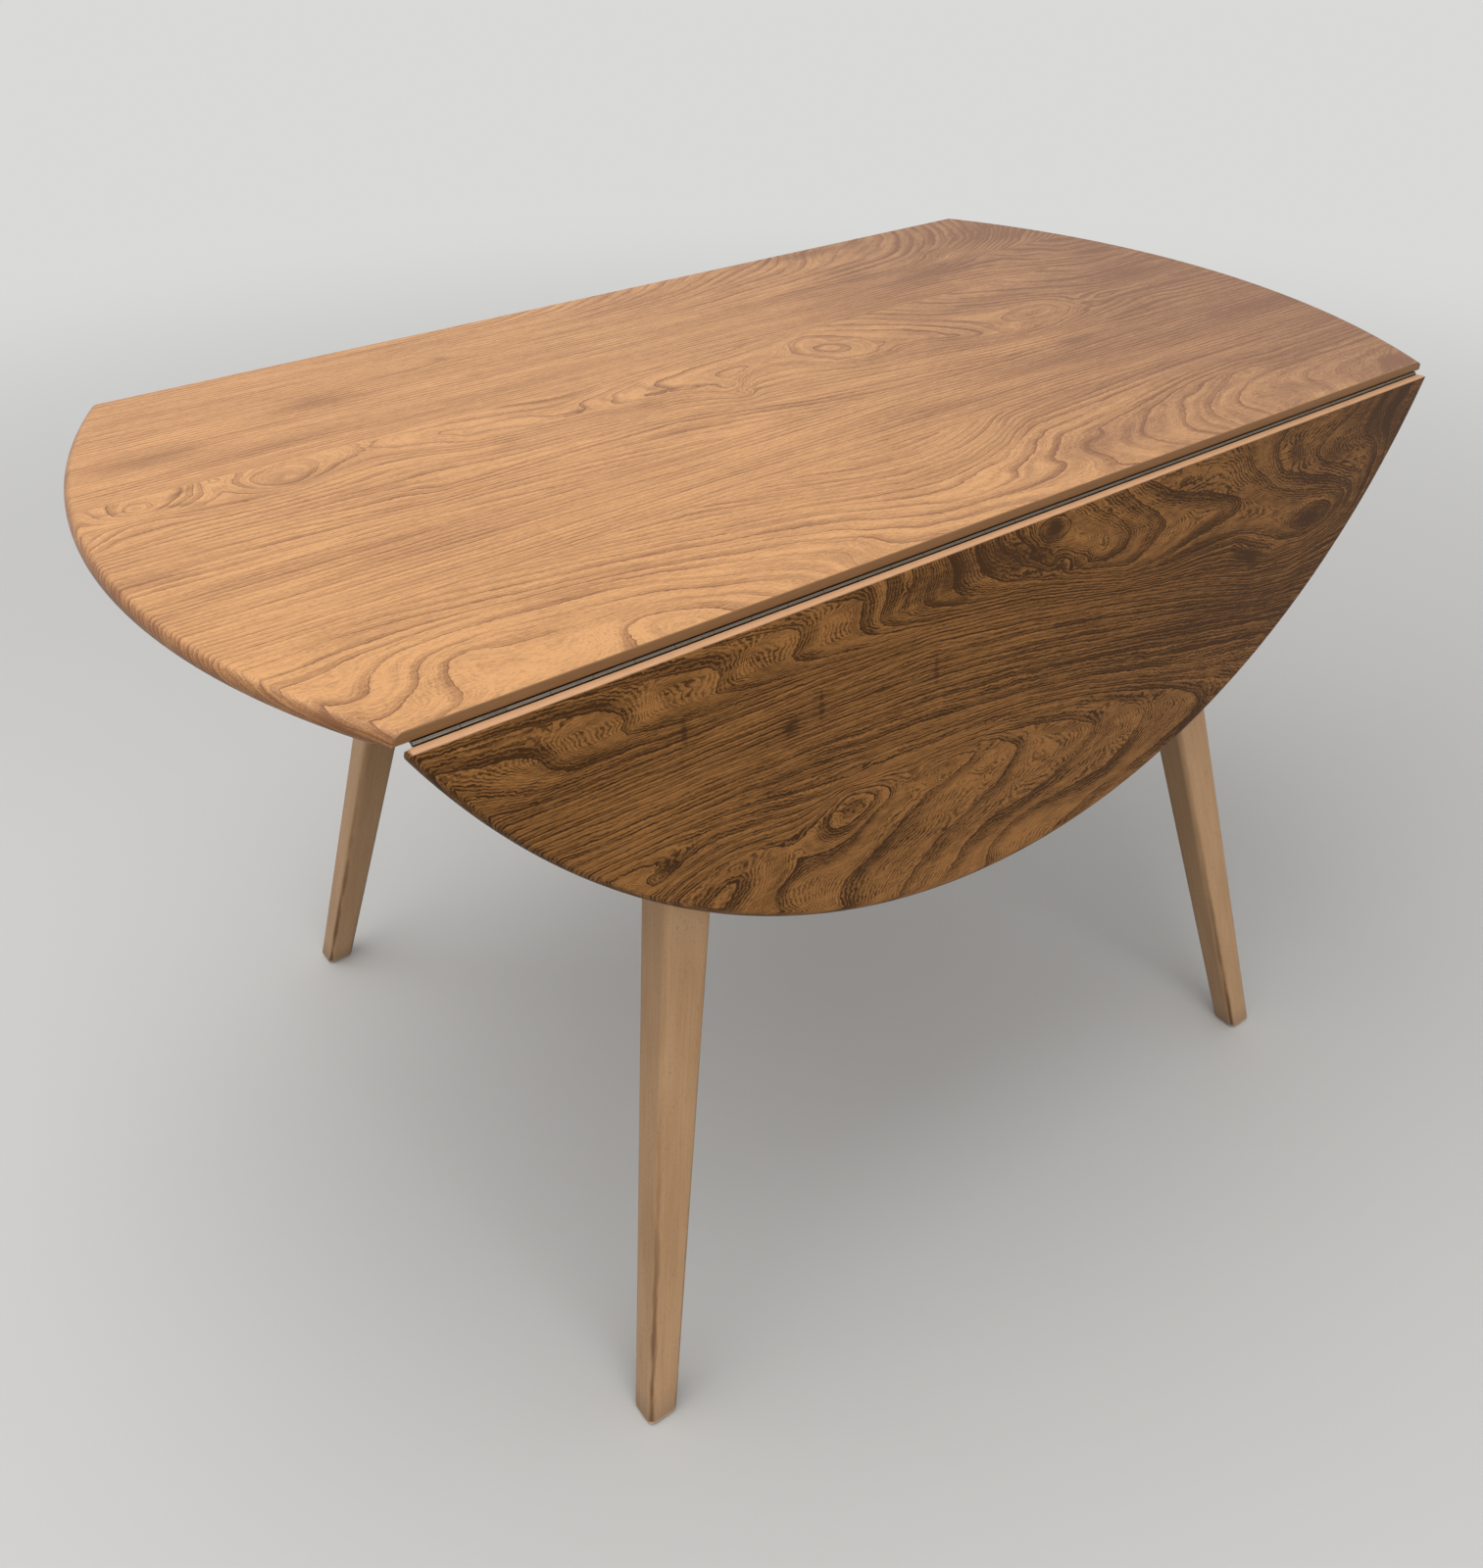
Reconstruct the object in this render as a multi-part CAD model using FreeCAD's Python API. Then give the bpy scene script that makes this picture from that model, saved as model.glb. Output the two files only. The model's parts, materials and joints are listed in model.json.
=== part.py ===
import FreeCAD, Part
import math
import os

# Drop-leaf dining table: an oval top in three boards, the outer two on continuous hinges, over a
# railed underframe with four tapered legs that splay both ways.
# X runs along the hinge lines, Y across them, Z up from the floor; -Y is the front.
# Every piece stands where it is when both leaves hang down. All lengths are in millimetres.

V = FreeCAD.Vector
UP = V(0, 0, 1)
ALONG = V(1, 0, 0)

# Whole table
TABLE_HEIGHT = 715.0
OPEN_LENGTH = 1156.0          # along the hinge lines
OPEN_WIDTH = 1214.0           # across, with both leaves up
PANEL_WIDTH = 614.0           # the fixed middle board, joint to joint
LEAF_HANG_ANGLE = 3.6         # degrees off plumb, bottom outward

# Boards of the top
BOARD_T = 16.0
JOINT_GAP = 1.0
EDGE_ROUND = 7.0              # round-over on the top of the oval edge
ROUND_WALL_SHARE = 0.9        # most of the edge's height that the round-over may take
EDGE_SOFT = 2.5               # arris between the edge and its undercut
ARC_STEPS = 6                 # rings that an arc of the edge is drawn through
UNDERCUT_HEIGHT = 5.0
UNDERCUT_REACH = 22.0
CORNER_ROUND = 5.0            # in plan, where the oval meets a joint
CORNER_BITE = 0.05            # how far the corner's arc crosses the oval and the joint
JOINT_ARRIS = 0.8

# Continuous hinges
HINGE_LIP = 9.1               # wood left over a flap
FLAP_T = 1.2
FLAP_REACH = 14.0             # pivot to the flap's far edge
KNUCKLE_R = 2.2
KNUCKLE_COUNT = 33
KNUCKLE_END_GAP = 0.3         # between neighbouring knuckles
HINGE_END_GAP = 10.0          # hinge stops short of the board's corner
HINGE_PIN_R = 1.0
HINGE_SCREW_OUT = 9.0         # pivot to the row of screws
HINGE_SCREW_COUNT = 16

# Legs
LEG_FOOT_X = 376.0            # centre of a foot, from the middle of the table
FOOT_BEYOND_JOINT = 32.0      # how far outside the joint line that centre lies
LEG_SPLAY_X = 149.0           # how far a foot stands outside the leg's top
LEG_SPLAY_Y = 137.0
LEG_TOP_SIZE_X = 51.0
LEG_TOP_SIZE_Y = 44.0
LEG_FOOT_SIZE_X = 28.0
LEG_FOOT_SIZE_Y = 27.0
LEG_ARRIS = 6.0
FOOT_CHAMFER = 3.0

# Underframe
RAIL_DEPTH = 70.0
RAIL_T = 18.0
TENON_T = 8.0
TENON_SHOULDER = 12.0         # rail left above and below a tenon
TENON_LAND = 1.0              # wood between the two tenons in a leg
CROSS_RAIL_DEPTH = 45.0
CROSS_RAIL_T = 20.0
CROSS_TENON = 8.0             # length of the cross rail's tenons
BRACE_T = 20.0
BRACE_DEPTH = 42.0
BRACE_LEG = 84.0              # inner corner of the rails to the middle of the brace's end
BRACE_SCREW_INSET = 14.0      # brace's end to its screw, along the inner face

# Angle brackets between rails and top
ANGLE_LENGTH = 34.0
ANGLE_WIDTH = 22.0
ANGLE_T = 2.0
ANGLE_ON_SIDE = 85.0          # either side of the middle, on a side rail
ANGLE_ON_END_SHARE = 0.57     # from the middle of an end rail, as a share of what the braces leave

# Prop stays that swing up under the leaves
STAY_X = 110.0                # either side of the middle
STAY_LENGTH = 195.0           # pivot to the centre of the tip
STAY_WIDTH = 20.0
STAY_T = 14.0
STAY_SOFT = 1.5
STAY_GAP = 0.3                # tip to leaf, where a stay bears
STAY_PIN_R = 3.0
STAY_PIN_HEAD_R = 5.0
STAY_PIN_HEAD_T = 1.6
EAR_T = 2.0
EAR_GAP = 0.4                 # stay to ear
EAR_MARGIN = 7.0              # steel round the pivot
PIVOT_OUT = 14.0              # rail face to pivot
PLATE_T = 2.0
PLATE_WIDTH = 52.0
PLATE_ABOVE = 46.0            # plate above the pivot
STOP_R = 2.0
STOP_DOWN = 17.0              # pivot to stop, along the stay
STOP_MARGIN = 3.0
PLATE_SCREW_X = 19.0
PLATE_SCREW_LOW = 15.0        # above the pivot
PLATE_SCREW_HIGH = 36.0
CATCH_T = 4.0
CATCH_WIDTH = 20.0
CATCH_LENGTH = 56.0
CATCH_SCREW_X = 18.0

# Screws: head radius, shank radius, depth of the countersink, length over all
HINGE_SCREW = dict(head=2.7, shank=1.3, sink=1.2, length=7.6)
CATCH_SCREW = dict(head=3.0, shank=1.5, sink=1.7, length=13.0)
PLATE_SCREW = dict(head=3.6, shank=1.8, sink=2.0, length=15.0)
ANGLE_SCREW = dict(head=3.6, shank=1.8, sink=2.0, length=13.0)
BRACE_SCREW = dict(head=4.0, shank=2.0, sink=2.4, length=32.0)
SLOT_SHARE = 0.2              # slot's width, as a share of the head's radius
SLOT_DEPTH_SHARE = 0.4        # slot's depth, as a share of the countersink
POINT_SHARES = (0.2, 0.25)    # point's length and radius, as shares of length and shank

# Fits
PIN_FIT = 0.05                # radial, round every pin
SCREW_FIT = 0.05              # radial, round every screw
KNUCKLE_FIT = 0.3             # knuckles to wood and to the other flap
REBATE_FIT = 0.5
OVERRUN = 5.0                 # how far a cutting tool runs past the wood


def oval_x(y):
    """Half the oval's length at a y value."""
    return OPEN_LENGTH / 2 * math.sqrt(1 - (2 * y / OPEN_WIDTH) ** 2)


# Places that follow from the sizes
half_panel = PANEL_WIDTH / 2
top_under = TABLE_HEIGHT - BOARD_T
corner_x = oval_x(half_panel)
pivot_drop = HINGE_LIP + FLAP_T / 2
pivot = V(0, -half_panel - JOINT_GAP / 2, TABLE_HEIGHT - pivot_drop)
hinge_length = 2 * (corner_x - HINGE_END_GAP)
knuckle_pitch = hinge_length / KNUCKLE_COUNT
leaf_swing = 90 - LEAF_HANG_ANGLE
leg_top_x = LEG_FOOT_X - LEG_SPLAY_X
foot_y = half_panel + FOOT_BEYOND_JOINT
leg_top_y = foot_y - LEG_SPLAY_Y
rail_x = leg_top_x + LEG_SPLAY_X * (RAIL_DEPTH / 2) / top_under
rail_y = leg_top_y + LEG_SPLAY_Y * (RAIL_DEPTH / 2) / top_under
inner_x = rail_x - RAIL_T / 2
inner_y = rail_y - RAIL_T / 2
angle_on_end = (inner_y - BRACE_LEG - BRACE_T) * ANGLE_ON_END_SHARE

# The stay turns by the same angle as its leaf. It bears on the leaf's underside when the leaf
# hangs and again when it is level, so its pivot lies as far from one as from the other.
hang = math.radians(LEAF_HANG_ANGLE)
stay_inset = -pivot.y - (rail_y + RAIL_T / 2 + PIVOT_OUT)
stay_drop = stay_inset * math.cos(hang) / (1 - math.sin(hang))
stay_pivot = V(0, pivot.y + stay_inset, pivot.z - stay_drop)
under_pivot = BOARD_T - pivot_drop
tip_r = STAY_WIDTH / 2
stay_lean = math.asin((stay_drop - under_pivot - tip_r - STAY_GAP) / STAY_LENGTH)
stay_rest_angle = LEAF_HANG_ANGLE + math.degrees(stay_lean)
tip_out = STAY_LENGTH * math.cos(stay_lean) - stay_inset


def block(x, y, z, low_z):
    """A box from -x to x and between two y values, low_z up to z."""
    return Part.makeBox(2 * x, y[1] - y[0], z - low_z, V(-x, y[0], low_z))


def turned(shape, centre, angle):
    """A copy turned about an axis along X."""
    copy = shape.copy()
    copy.rotate(centre, ALONG, angle)
    return copy


def rear(shape):
    """The same piece on the other side of the table."""
    copy = shape.copy()
    copy.rotate(V(0, 0, 0), UP, 180)
    return copy


def pointed(shape, at, direction):
    """A shape drawn up from the origin, carried to a point and turned along a direction."""
    copy = shape.copy()
    copy.Placement = FreeCAD.Placement(at, FreeCAD.Rotation(UP, direction))
    return copy


def screw(size, grow=0.0):
    """A slotted countersunk screw with its head at the origin, or the hole for one if it grows."""
    shank = size["shank"] + grow
    head = size["head"] + grow
    point = size["length"] * POINT_SHARES[0]
    straight = size["length"] - size["sink"] - point
    solid = Part.makeCone(head, shank, size["sink"])
    solid = solid.fuse(Part.makeCylinder(shank, straight, V(0, 0, size["sink"])))
    tip = V(0, 0, size["sink"] + straight)
    solid = solid.fuse(Part.makeCone(shank, shank * POINT_SHARES[1], point + grow, tip))
    if grow:
        return solid.fuse(Part.makeCylinder(head, OVERRUN, V(0, 0, -OVERRUN))).removeSplitter()
    slot_w = size["head"] * SLOT_SHARE
    slot_d = size["sink"] * SLOT_DEPTH_SHARE
    slot = Part.makeBox(2 * head, slot_w, slot_d, V(-head, -slot_w / 2, 0))
    return solid.cut(slot).removeSplitter()


def screws(size, places):
    """One solid for each place."""
    pattern = screw(size)
    return [pointed(pattern, at, direction) for at, direction in places]


def holes(size, places):
    """The matching holes."""
    pattern = screw(size, SCREW_FIT)
    return [pointed(pattern, at, direction) for at, direction in places]


def group(shapes):
    return Part.makeCompound(shapes)


def oval(length, width, z):
    """A closed oval outline, level at z."""
    tips = sorted([V(length / 2, 0, z), V(0, width / 2, z)], key=lambda tip: -tip.Length)
    return Part.Wire(Part.Ellipse(tips[0], tips[1], V(0, 0, z)).toShape())


def arc_rings(radius, z, start, stop):
    """Inset and height of rings along an arc of the edge's section, with angles up from level."""
    angles = [start + (stop - start) * step / ARC_STEPS for step in range(ARC_STEPS + 1)]
    return [(radius * (1 - math.cos(a)), z + radius * math.sin(a)) for a in angles]


def oval_board():
    """The whole top as one board, round above and undercut below."""
    slope = math.atan2(UNDERCUT_HEIGHT, UNDERCUT_REACH)
    turn = math.pi / 2 - slope
    arris_z = top_under + UNDERCUT_HEIGHT + EDGE_SOFT * math.tan(turn / 2)
    round_r = min(EDGE_ROUND, (TABLE_HEIGHT - arris_z) * ROUND_WALL_SHARE)
    arris = arc_rings(EDGE_SOFT, arris_z, -turn, 0)
    round_over = arc_rings(round_r, TABLE_HEIGHT - round_r, 0, math.pi / 2)
    layers = []
    for span in ([(UNDERCUT_REACH, top_under), arris[0]], arris, [arris[-1], round_over[0]], round_over):
        rings = [oval(OPEN_LENGTH - 2 * inset, OPEN_WIDTH - 2 * inset, z) for inset, z in span]
        layers.append(Part.makeLoft(rings, True, len(span) < 3))
    return layers[0].fuse(layers[1:]).removeSplitter()


def corner_cut(sx, edge_y, facing):
    """What rounds off one corner of a board in plan, where the oval meets a joint facing along y."""
    reach = CORNER_ROUND - CORNER_BITE
    corner = V(sx * oval_x(edge_y), edge_y, top_under - OVERRUN)
    outward = V(corner.x / OPEN_LENGTH ** 2, edge_y / OPEN_WIDTH ** 2, 0).normalize()
    across = V(0, facing, 0)
    inset = (outward + across) * (reach / (1 + outward.dot(across)))
    centre = corner - inset
    outline = [centre, centre + outward * (reach + OVERRUN), corner + inset * 2,
               centre + across * (reach + OVERRUN)]
    height = BOARD_T + 2 * OVERRUN
    wedge = Part.Face(Part.makePolygon(outline + outline[:1])).extrude(UP * height)
    return wedge.cut(Part.makeCylinder(CORNER_ROUND, height, centre))


def board_between(board, y_low, y_high, joints):
    """What lies between two y values, with rounded corners at each joint's y and facing."""
    strip = board.common(block(OPEN_LENGTH, (y_low, y_high), TABLE_HEIGHT + OVERRUN, top_under - OVERRUN))
    return strip.cut([corner_cut(sx, y, facing) for sx in (-1, 1) for y, facing in joints])


def joint_cut(edge_y, inward):
    """What is planed off a board along a hinge: the rebate, the cove and the top arris."""
    reach = FLAP_REACH + REBATE_FIT
    rebate_y = sorted([edge_y - inward * OVERRUN, edge_y + inward * reach])
    lip_under = TABLE_HEIGHT - HINGE_LIP
    rebate = block(OPEN_LENGTH, rebate_y, lip_under, top_under - OVERRUN)
    cove = Part.makeCylinder(KNUCKLE_R + KNUCKLE_FIT, 2 * OPEN_LENGTH,
                             pivot - ALONG * OPEN_LENGTH, ALONG)
    corner = [V(-OPEN_LENGTH, edge_y - inward * JOINT_ARRIS, TABLE_HEIGHT + JOINT_ARRIS),
              V(-OPEN_LENGTH, edge_y - inward * JOINT_ARRIS, TABLE_HEIGHT - 2 * JOINT_ARRIS),
              V(-OPEN_LENGTH, edge_y + inward * 2 * JOINT_ARRIS, TABLE_HEIGHT + JOINT_ARRIS)]
    arris = Part.Face(Part.makePolygon(corner + corner[:1])).extrude(ALONG * (2 * OPEN_LENGTH))
    return [rebate, cove, arris]


def flap(side, parity):
    """One half of a continuous hinge, level. Side is 1 towards the table, -1 away from it."""
    y0 = pivot.y
    far = sorted([y0, y0 + side * FLAP_REACH])
    plate = block(hinge_length / 2, far, pivot.z + FLAP_T / 2, pivot.z - FLAP_T / 2)
    clear = KNUCKLE_R + KNUCKLE_FIT
    tubes = []
    notches = []
    for index in range(KNUCKLE_COUNT):
        start = -hinge_length / 2 + index * knuckle_pitch
        if index % 2 == parity:
            x = start + KNUCKLE_END_GAP / 2
            tube = Part.makeCylinder(KNUCKLE_R, knuckle_pitch - KNUCKLE_END_GAP,
                                     V(x, y0, pivot.z), ALONG)
            tubes.append(tube)
        else:
            near = sorted([y0 - side * clear, y0 + side * clear])
            notch = Part.makeBox(knuckle_pitch + KNUCKLE_END_GAP, near[1] - near[0], 2 * clear,
                                 V(start - KNUCKLE_END_GAP / 2, near[0], pivot.z - clear))
            notches.append(notch)
    bore = Part.makeCylinder(HINGE_PIN_R + PIN_FIT, hinge_length + 2 * OVERRUN,
                             pivot - ALONG * (hinge_length / 2 + OVERRUN), ALONG)
    return plate.cut(notches).fuse(tubes).cut([bore] + holes(HINGE_SCREW, hinge_rows(side)))


def hinge_rows(side):
    """Where the screws of one flap go, heads flush with the underside of the flap."""
    step = 2 * knuckle_pitch
    first = -(HINGE_SCREW_COUNT - 1) / 2 * step
    y = pivot.y + side * HINGE_SCREW_OUT
    z = pivot.z - FLAP_T / 2
    return [(V(first + i * step, y, z), UP) for i in range(HINGE_SCREW_COUNT)]


def hinge_pin():
    return Part.makeCylinder(HINGE_PIN_R, hinge_length, pivot - ALONG * (hinge_length / 2), ALONG)


def catch_y():
    """The two long sides of a catch, on a level leaf, just outside where the stay's tip comes."""
    reach = math.sqrt(tip_r ** 2 - (tip_r + STAY_GAP - CATCH_T) ** 2)
    near = pivot.y - tip_out - reach - STAY_GAP
    return near - CATCH_WIDTH, near


def catch_screw_places():
    y = sum(catch_y()) / 2
    z = top_under - CATCH_T
    return [(V(x + dx, y, z), UP) for x in (-STAY_X, STAY_X) for dx in (-CATCH_SCREW_X, CATCH_SCREW_X)]


def catch(x):
    """A cleat on the leaf that the tip of a stay comes up against."""
    y = catch_y()
    cleat = Part.makeBox(CATCH_LENGTH, CATCH_WIDTH, CATCH_T,
                         V(x - CATCH_LENGTH / 2, y[0], top_under - CATCH_T))
    return cleat.cut(holes(CATCH_SCREW, catch_screw_places()))


def rounded_rectangle(centre, size_x, size_y, radius):
    """A level outline with its four corners rounded."""
    x = size_x / 2 - radius
    y = size_y / 2 - radius
    diagonal = radius / math.sqrt(2)
    edges = []
    corners = [(1, 1), (-1, 1), (-1, -1), (1, -1)]
    for number, (sx, sy) in enumerate(corners):
        middle = centre + V(sx * x, sy * y, 0)
        ends = [middle + V(sx * radius, 0, 0), middle + V(0, sy * radius, 0)]
        if number % 2:
            ends.reverse()
        edges.append(Part.Arc(ends[0], middle + V(sx * diagonal, sy * diagonal, 0), ends[1]).toShape())
    wire = []
    for number, arc in enumerate(edges):
        following = edges[(number + 1) % len(edges)]
        wire += [arc, Part.LineSegment(arc.Vertexes[-1].Point, following.Vertexes[0].Point).toShape()]
    return Part.Wire(wire)


def leg_blank(sx, sy):
    """A tapered leg, splayed both ways, cut flat to the floor and to the top."""
    def section(z, shrink):
        share = z / top_under
        centre = V(sx * (LEG_FOOT_X - LEG_SPLAY_X * share), sy * (foot_y - LEG_SPLAY_Y * share), z)
        size_x = LEG_FOOT_SIZE_X + (LEG_TOP_SIZE_X - LEG_FOOT_SIZE_X) * share - 2 * shrink
        size_y = LEG_FOOT_SIZE_Y + (LEG_TOP_SIZE_Y - LEG_FOOT_SIZE_Y) * share - 2 * shrink
        return rounded_rectangle(centre, size_x, size_y, LEG_ARRIS - shrink / 2)
    rings = [section(0, FOOT_CHAMFER), section(FOOT_CHAMFER, 0), section(top_under, 0)]
    return Part.makeLoft(rings, True, True)


def side_rail_tenon(end):
    """The tenon at one end of the front side rail."""
    tip = rail_x - TENON_T / 2 - TENON_LAND
    root = rail_x - LEG_TOP_SIZE_X
    low = top_under - RAIL_DEPTH + TENON_SHOULDER
    height = RAIL_DEPTH - 2 * TENON_SHOULDER
    x = root if end > 0 else -tip
    return Part.makeBox(tip - root, TENON_T, height, V(x, -rail_y - TENON_T / 2, low))


def end_rail_tenon(sx, sy):
    """The tenon of an end rail in one leg."""
    root = rail_y - LEG_TOP_SIZE_Y
    low = top_under - RAIL_DEPTH + TENON_SHOULDER
    height = RAIL_DEPTH - 2 * TENON_SHOULDER
    y = root if sy > 0 else -rail_y
    return Part.makeBox(TENON_T, rail_y - root, height, V(sx * rail_x - TENON_T / 2, y, low))


def cross_rail():
    """The rail across the middle, with a stub tenon in each side rail."""
    low = top_under - CROSS_RAIL_DEPTH
    body = block(CROSS_RAIL_T / 2, (-inner_y, inner_y), top_under, low)
    tenon = block(TENON_T / 2, (-inner_y - CROSS_TENON, inner_y + CROSS_TENON),
                  top_under - TENON_SHOULDER, low + TENON_SHOULDER)
    return body.fuse(tenon).removeSplitter()


def brace(sx, sy):
    """A diagonal brace across one inner corner of the rails."""
    half = BRACE_T / 2
    along = V(-sx, sy, 0).normalize()
    across = V(-sx, -sy, 0).normalize()
    middle = V(sx * inner_x, sy * inner_y, 0) + V(-sx, -sy, 0) * (BRACE_LEG / 2)
    corners = [middle + along * (BRACE_LEG * a) + across * (half * b)
               for a, b in ((-1, -1), (1, -1), (1, 1), (-1, 1))]
    corners = [V(c.x, c.y, top_under - BRACE_DEPTH) for c in corners]
    bar = Part.Face(Part.makePolygon(corners + corners[:1])).extrude(V(0, 0, BRACE_DEPTH))
    inside = block(inner_x, (-inner_y, inner_y), top_under, top_under - BRACE_DEPTH)
    return bar.common(inside)


def brace_screw_places(sx, sy):
    """Screws from the brace's inner face into each rail."""
    along = V(-sx, sy, 0).normalize()
    across = V(-sx, -sy, 0).normalize()
    middle = V(sx * inner_x, sy * inner_y, 0) + V(-sx, -sy, 0) * (BRACE_LEG / 2)
    face = middle + across * (BRACE_T / 2) + UP * (top_under - BRACE_DEPTH / 2)
    reach = BRACE_LEG / math.sqrt(2) + BRACE_T / 2 - BRACE_SCREW_INSET
    return [(face + along * (reach * end), across * -1) for end in (-1, 1)]


def angle_places():
    """Middle of each angle bracket's corner line, with the direction into the room."""
    places = [(V(x, sy * inner_y, top_under), V(0, -sy, 0))
              for sy in (-1, 1) for x in (-ANGLE_ON_SIDE, ANGLE_ON_SIDE)]
    places += [(V(sx * inner_x, y, top_under), V(-sx, 0, 0))
               for sx in (-1, 1) for y in (-angle_on_end, angle_on_end)]
    return places


def angle_bracket():
    """An angle bracket at the origin: one wing under the top, one down the rail, facing +X."""
    profile = [V(0, 0, 0), V(ANGLE_WIDTH, 0, 0), V(ANGLE_WIDTH, 0, -ANGLE_T), V(ANGLE_T, 0, -ANGLE_T),
               V(ANGLE_T, 0, -ANGLE_WIDTH), V(0, 0, -ANGLE_WIDTH)]
    face = Part.Face(Part.makePolygon(profile + profile[:1]))
    angle = face.extrude(V(0, ANGLE_LENGTH, 0))
    angle.translate(V(0, -ANGLE_LENGTH / 2, 0))
    return angle


def angle_screw_places(upward):
    """Two screws for each wing, upward into the top or outward into the rail."""
    found = []
    middle = (ANGLE_WIDTH + ANGLE_T) / 2
    for at, inward in angle_places():
        sideways = UP.cross(inward)
        for end in (-ANGLE_LENGTH / 4, ANGLE_LENGTH / 4):
            if upward:
                found.append((at + inward * middle + sideways * end - UP * ANGLE_T, UP))
            else:
                found.append((at + inward * ANGLE_T + sideways * end - UP * middle, inward * -1))
    return found


def stay(x):
    """A prop stay as it rests, leaning out with its tip against the hanging leaf."""
    shank = Part.makeBox(STAY_T, STAY_WIDTH, STAY_LENGTH, V(-STAY_T / 2, -tip_r, -STAY_LENGTH))
    ends = [Part.makeCylinder(tip_r, STAY_T, V(-STAY_T / 2, 0, z), ALONG) for z in (0, -STAY_LENGTH)]
    bar = shank.fuse(ends).removeSplitter()
    rims = [e for e in bar.Edges if abs(e.BoundBox.XMax - e.BoundBox.XMin) < STAY_SOFT]
    bar = bar.makeFillet(STAY_SOFT, rims)
    bar = bar.cut(Part.makeCylinder(STAY_PIN_R + PIN_FIT, STAY_T + 2 * OVERRUN,
                                    V(-STAY_T / 2 - OVERRUN, 0, 0), ALONG))
    bar.rotate(V(0, 0, 0), ALONG, -stay_rest_angle)
    bar.translate(stay_pivot + V(x, 0, 0))
    return bar


def ear_x():
    """Inner and outer face of an ear, from the middle of the stay."""
    inner = STAY_T / 2 + EAR_GAP
    return inner, inner + EAR_T


def stop_place():
    """Where the stop lies against the inner side of the resting stay, from the pivot."""
    lean = math.radians(stay_rest_angle)
    aside = tip_r + STOP_R + STAY_GAP
    out = STOP_DOWN * math.sin(lean) - aside * math.cos(lean)
    down = STOP_DOWN * math.cos(lean) + aside * math.sin(lean)
    return V(0, -out, -down)


def stay_bracket(x):
    """A steel bracket on the rail's outer face: a plate, two ears and a stop between them."""
    face_y = stay_pivot.y + PIVOT_OUT
    stop = stay_pivot + stop_place()
    low = stop.z - STOP_R - STOP_MARGIN
    plate = block(PLATE_WIDTH / 2, (face_y - PLATE_T, face_y), stay_pivot.z + PLATE_ABOVE, low)
    inner, outer = ear_x()
    ear = block(outer, (stay_pivot.y - EAR_MARGIN, face_y - PLATE_T / 2), stay_pivot.z + EAR_MARGIN, low)
    ear = ear.cut(block(inner, (stay_pivot.y - 2 * EAR_MARGIN, face_y - PLATE_T),
                        stay_pivot.z + 2 * EAR_MARGIN, low - OVERRUN))
    bar = Part.makeCylinder(STOP_R, 2 * outer, V(-outer, stop.y, stop.z), ALONG)
    bracket = plate.fuse([ear, bar]).removeSplitter()
    bore = Part.makeCylinder(STAY_PIN_R + PIN_FIT, PLATE_WIDTH,
                             V(-PLATE_WIDTH / 2, stay_pivot.y, stay_pivot.z), ALONG)
    bracket = bracket.cut(bore)
    bracket.translate(V(x, 0, 0))
    return bracket.cut(holes(PLATE_SCREW, plate_screw_places(x)))


def plate_screw_places(x):
    face_y = stay_pivot.y + PIVOT_OUT - PLATE_T
    inward = V(0, 1, 0)
    return [(V(x + dx, face_y, stay_pivot.z + up), inward)
            for dx in (-PLATE_SCREW_X, PLATE_SCREW_X) for up in (PLATE_SCREW_LOW, PLATE_SCREW_HIGH)]


def stay_pin(x):
    """A headed pin through both ears, headed over at its far end."""
    outer = ear_x()[1]
    start = stay_pivot + V(x - outer, 0, 0)
    pin = Part.makeCylinder(STAY_PIN_R, 2 * outer, start, ALONG)
    heads = [Part.makeCylinder(STAY_PIN_HEAD_R, STAY_PIN_HEAD_T, stay_pivot + V(x + at, 0, 0), ALONG)
             for at in (-outer - STAY_PIN_HEAD_T, outer)]
    return pin.fuse(heads).removeSplitter()


nodes = {}

# The boards, cut from one oval
whole = oval_board()
panel_cuts = joint_cut(-half_panel, 1) + holes(HINGE_SCREW, hinge_rows(1))
panel_cuts += [rear(tool) for tool in panel_cuts]
panel_cuts += holes(ANGLE_SCREW, angle_screw_places(True))
panel = board_between(whole, -half_panel, half_panel, [(-half_panel, -1), (half_panel, 1)])
nodes["top_panel"] = panel.cut(panel_cuts)
leaf_edge = -half_panel - JOINT_GAP
leaf_cuts = joint_cut(leaf_edge, -1) + holes(HINGE_SCREW, hinge_rows(-1))
leaf_cuts += holes(CATCH_SCREW, catch_screw_places())
level_leaf = board_between(whole, -OPEN_WIDTH, leaf_edge, [(leaf_edge, 1)]).cut(leaf_cuts)

# What hangs with a leaf, drawn level and then let down
leaf_pieces = {
    "leaf": level_leaf,
    "hinge_leaf_flap": flap(-1, 1),
    "hinge_leaf_screws": group(screws(HINGE_SCREW, hinge_rows(-1))),
    "catch_screws": group(screws(CATCH_SCREW, catch_screw_places())),
}
for name, piece in leaf_pieces.items():
    hanging = turned(piece, pivot, leaf_swing)
    nodes["front_" + name] = hanging
    nodes["rear_" + name] = rear(hanging)

# Fixed halves of the hinges and their pins
fixed_pieces = {
    "hinge_fixed_flap": flap(1, 0),
    "hinge_pin": hinge_pin(),
    "hinge_fixed_screws": group(screws(HINGE_SCREW, hinge_rows(1))),
}
for name, piece in fixed_pieces.items():
    nodes["front_" + name] = piece
    nodes["rear_" + name] = rear(piece)

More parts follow.
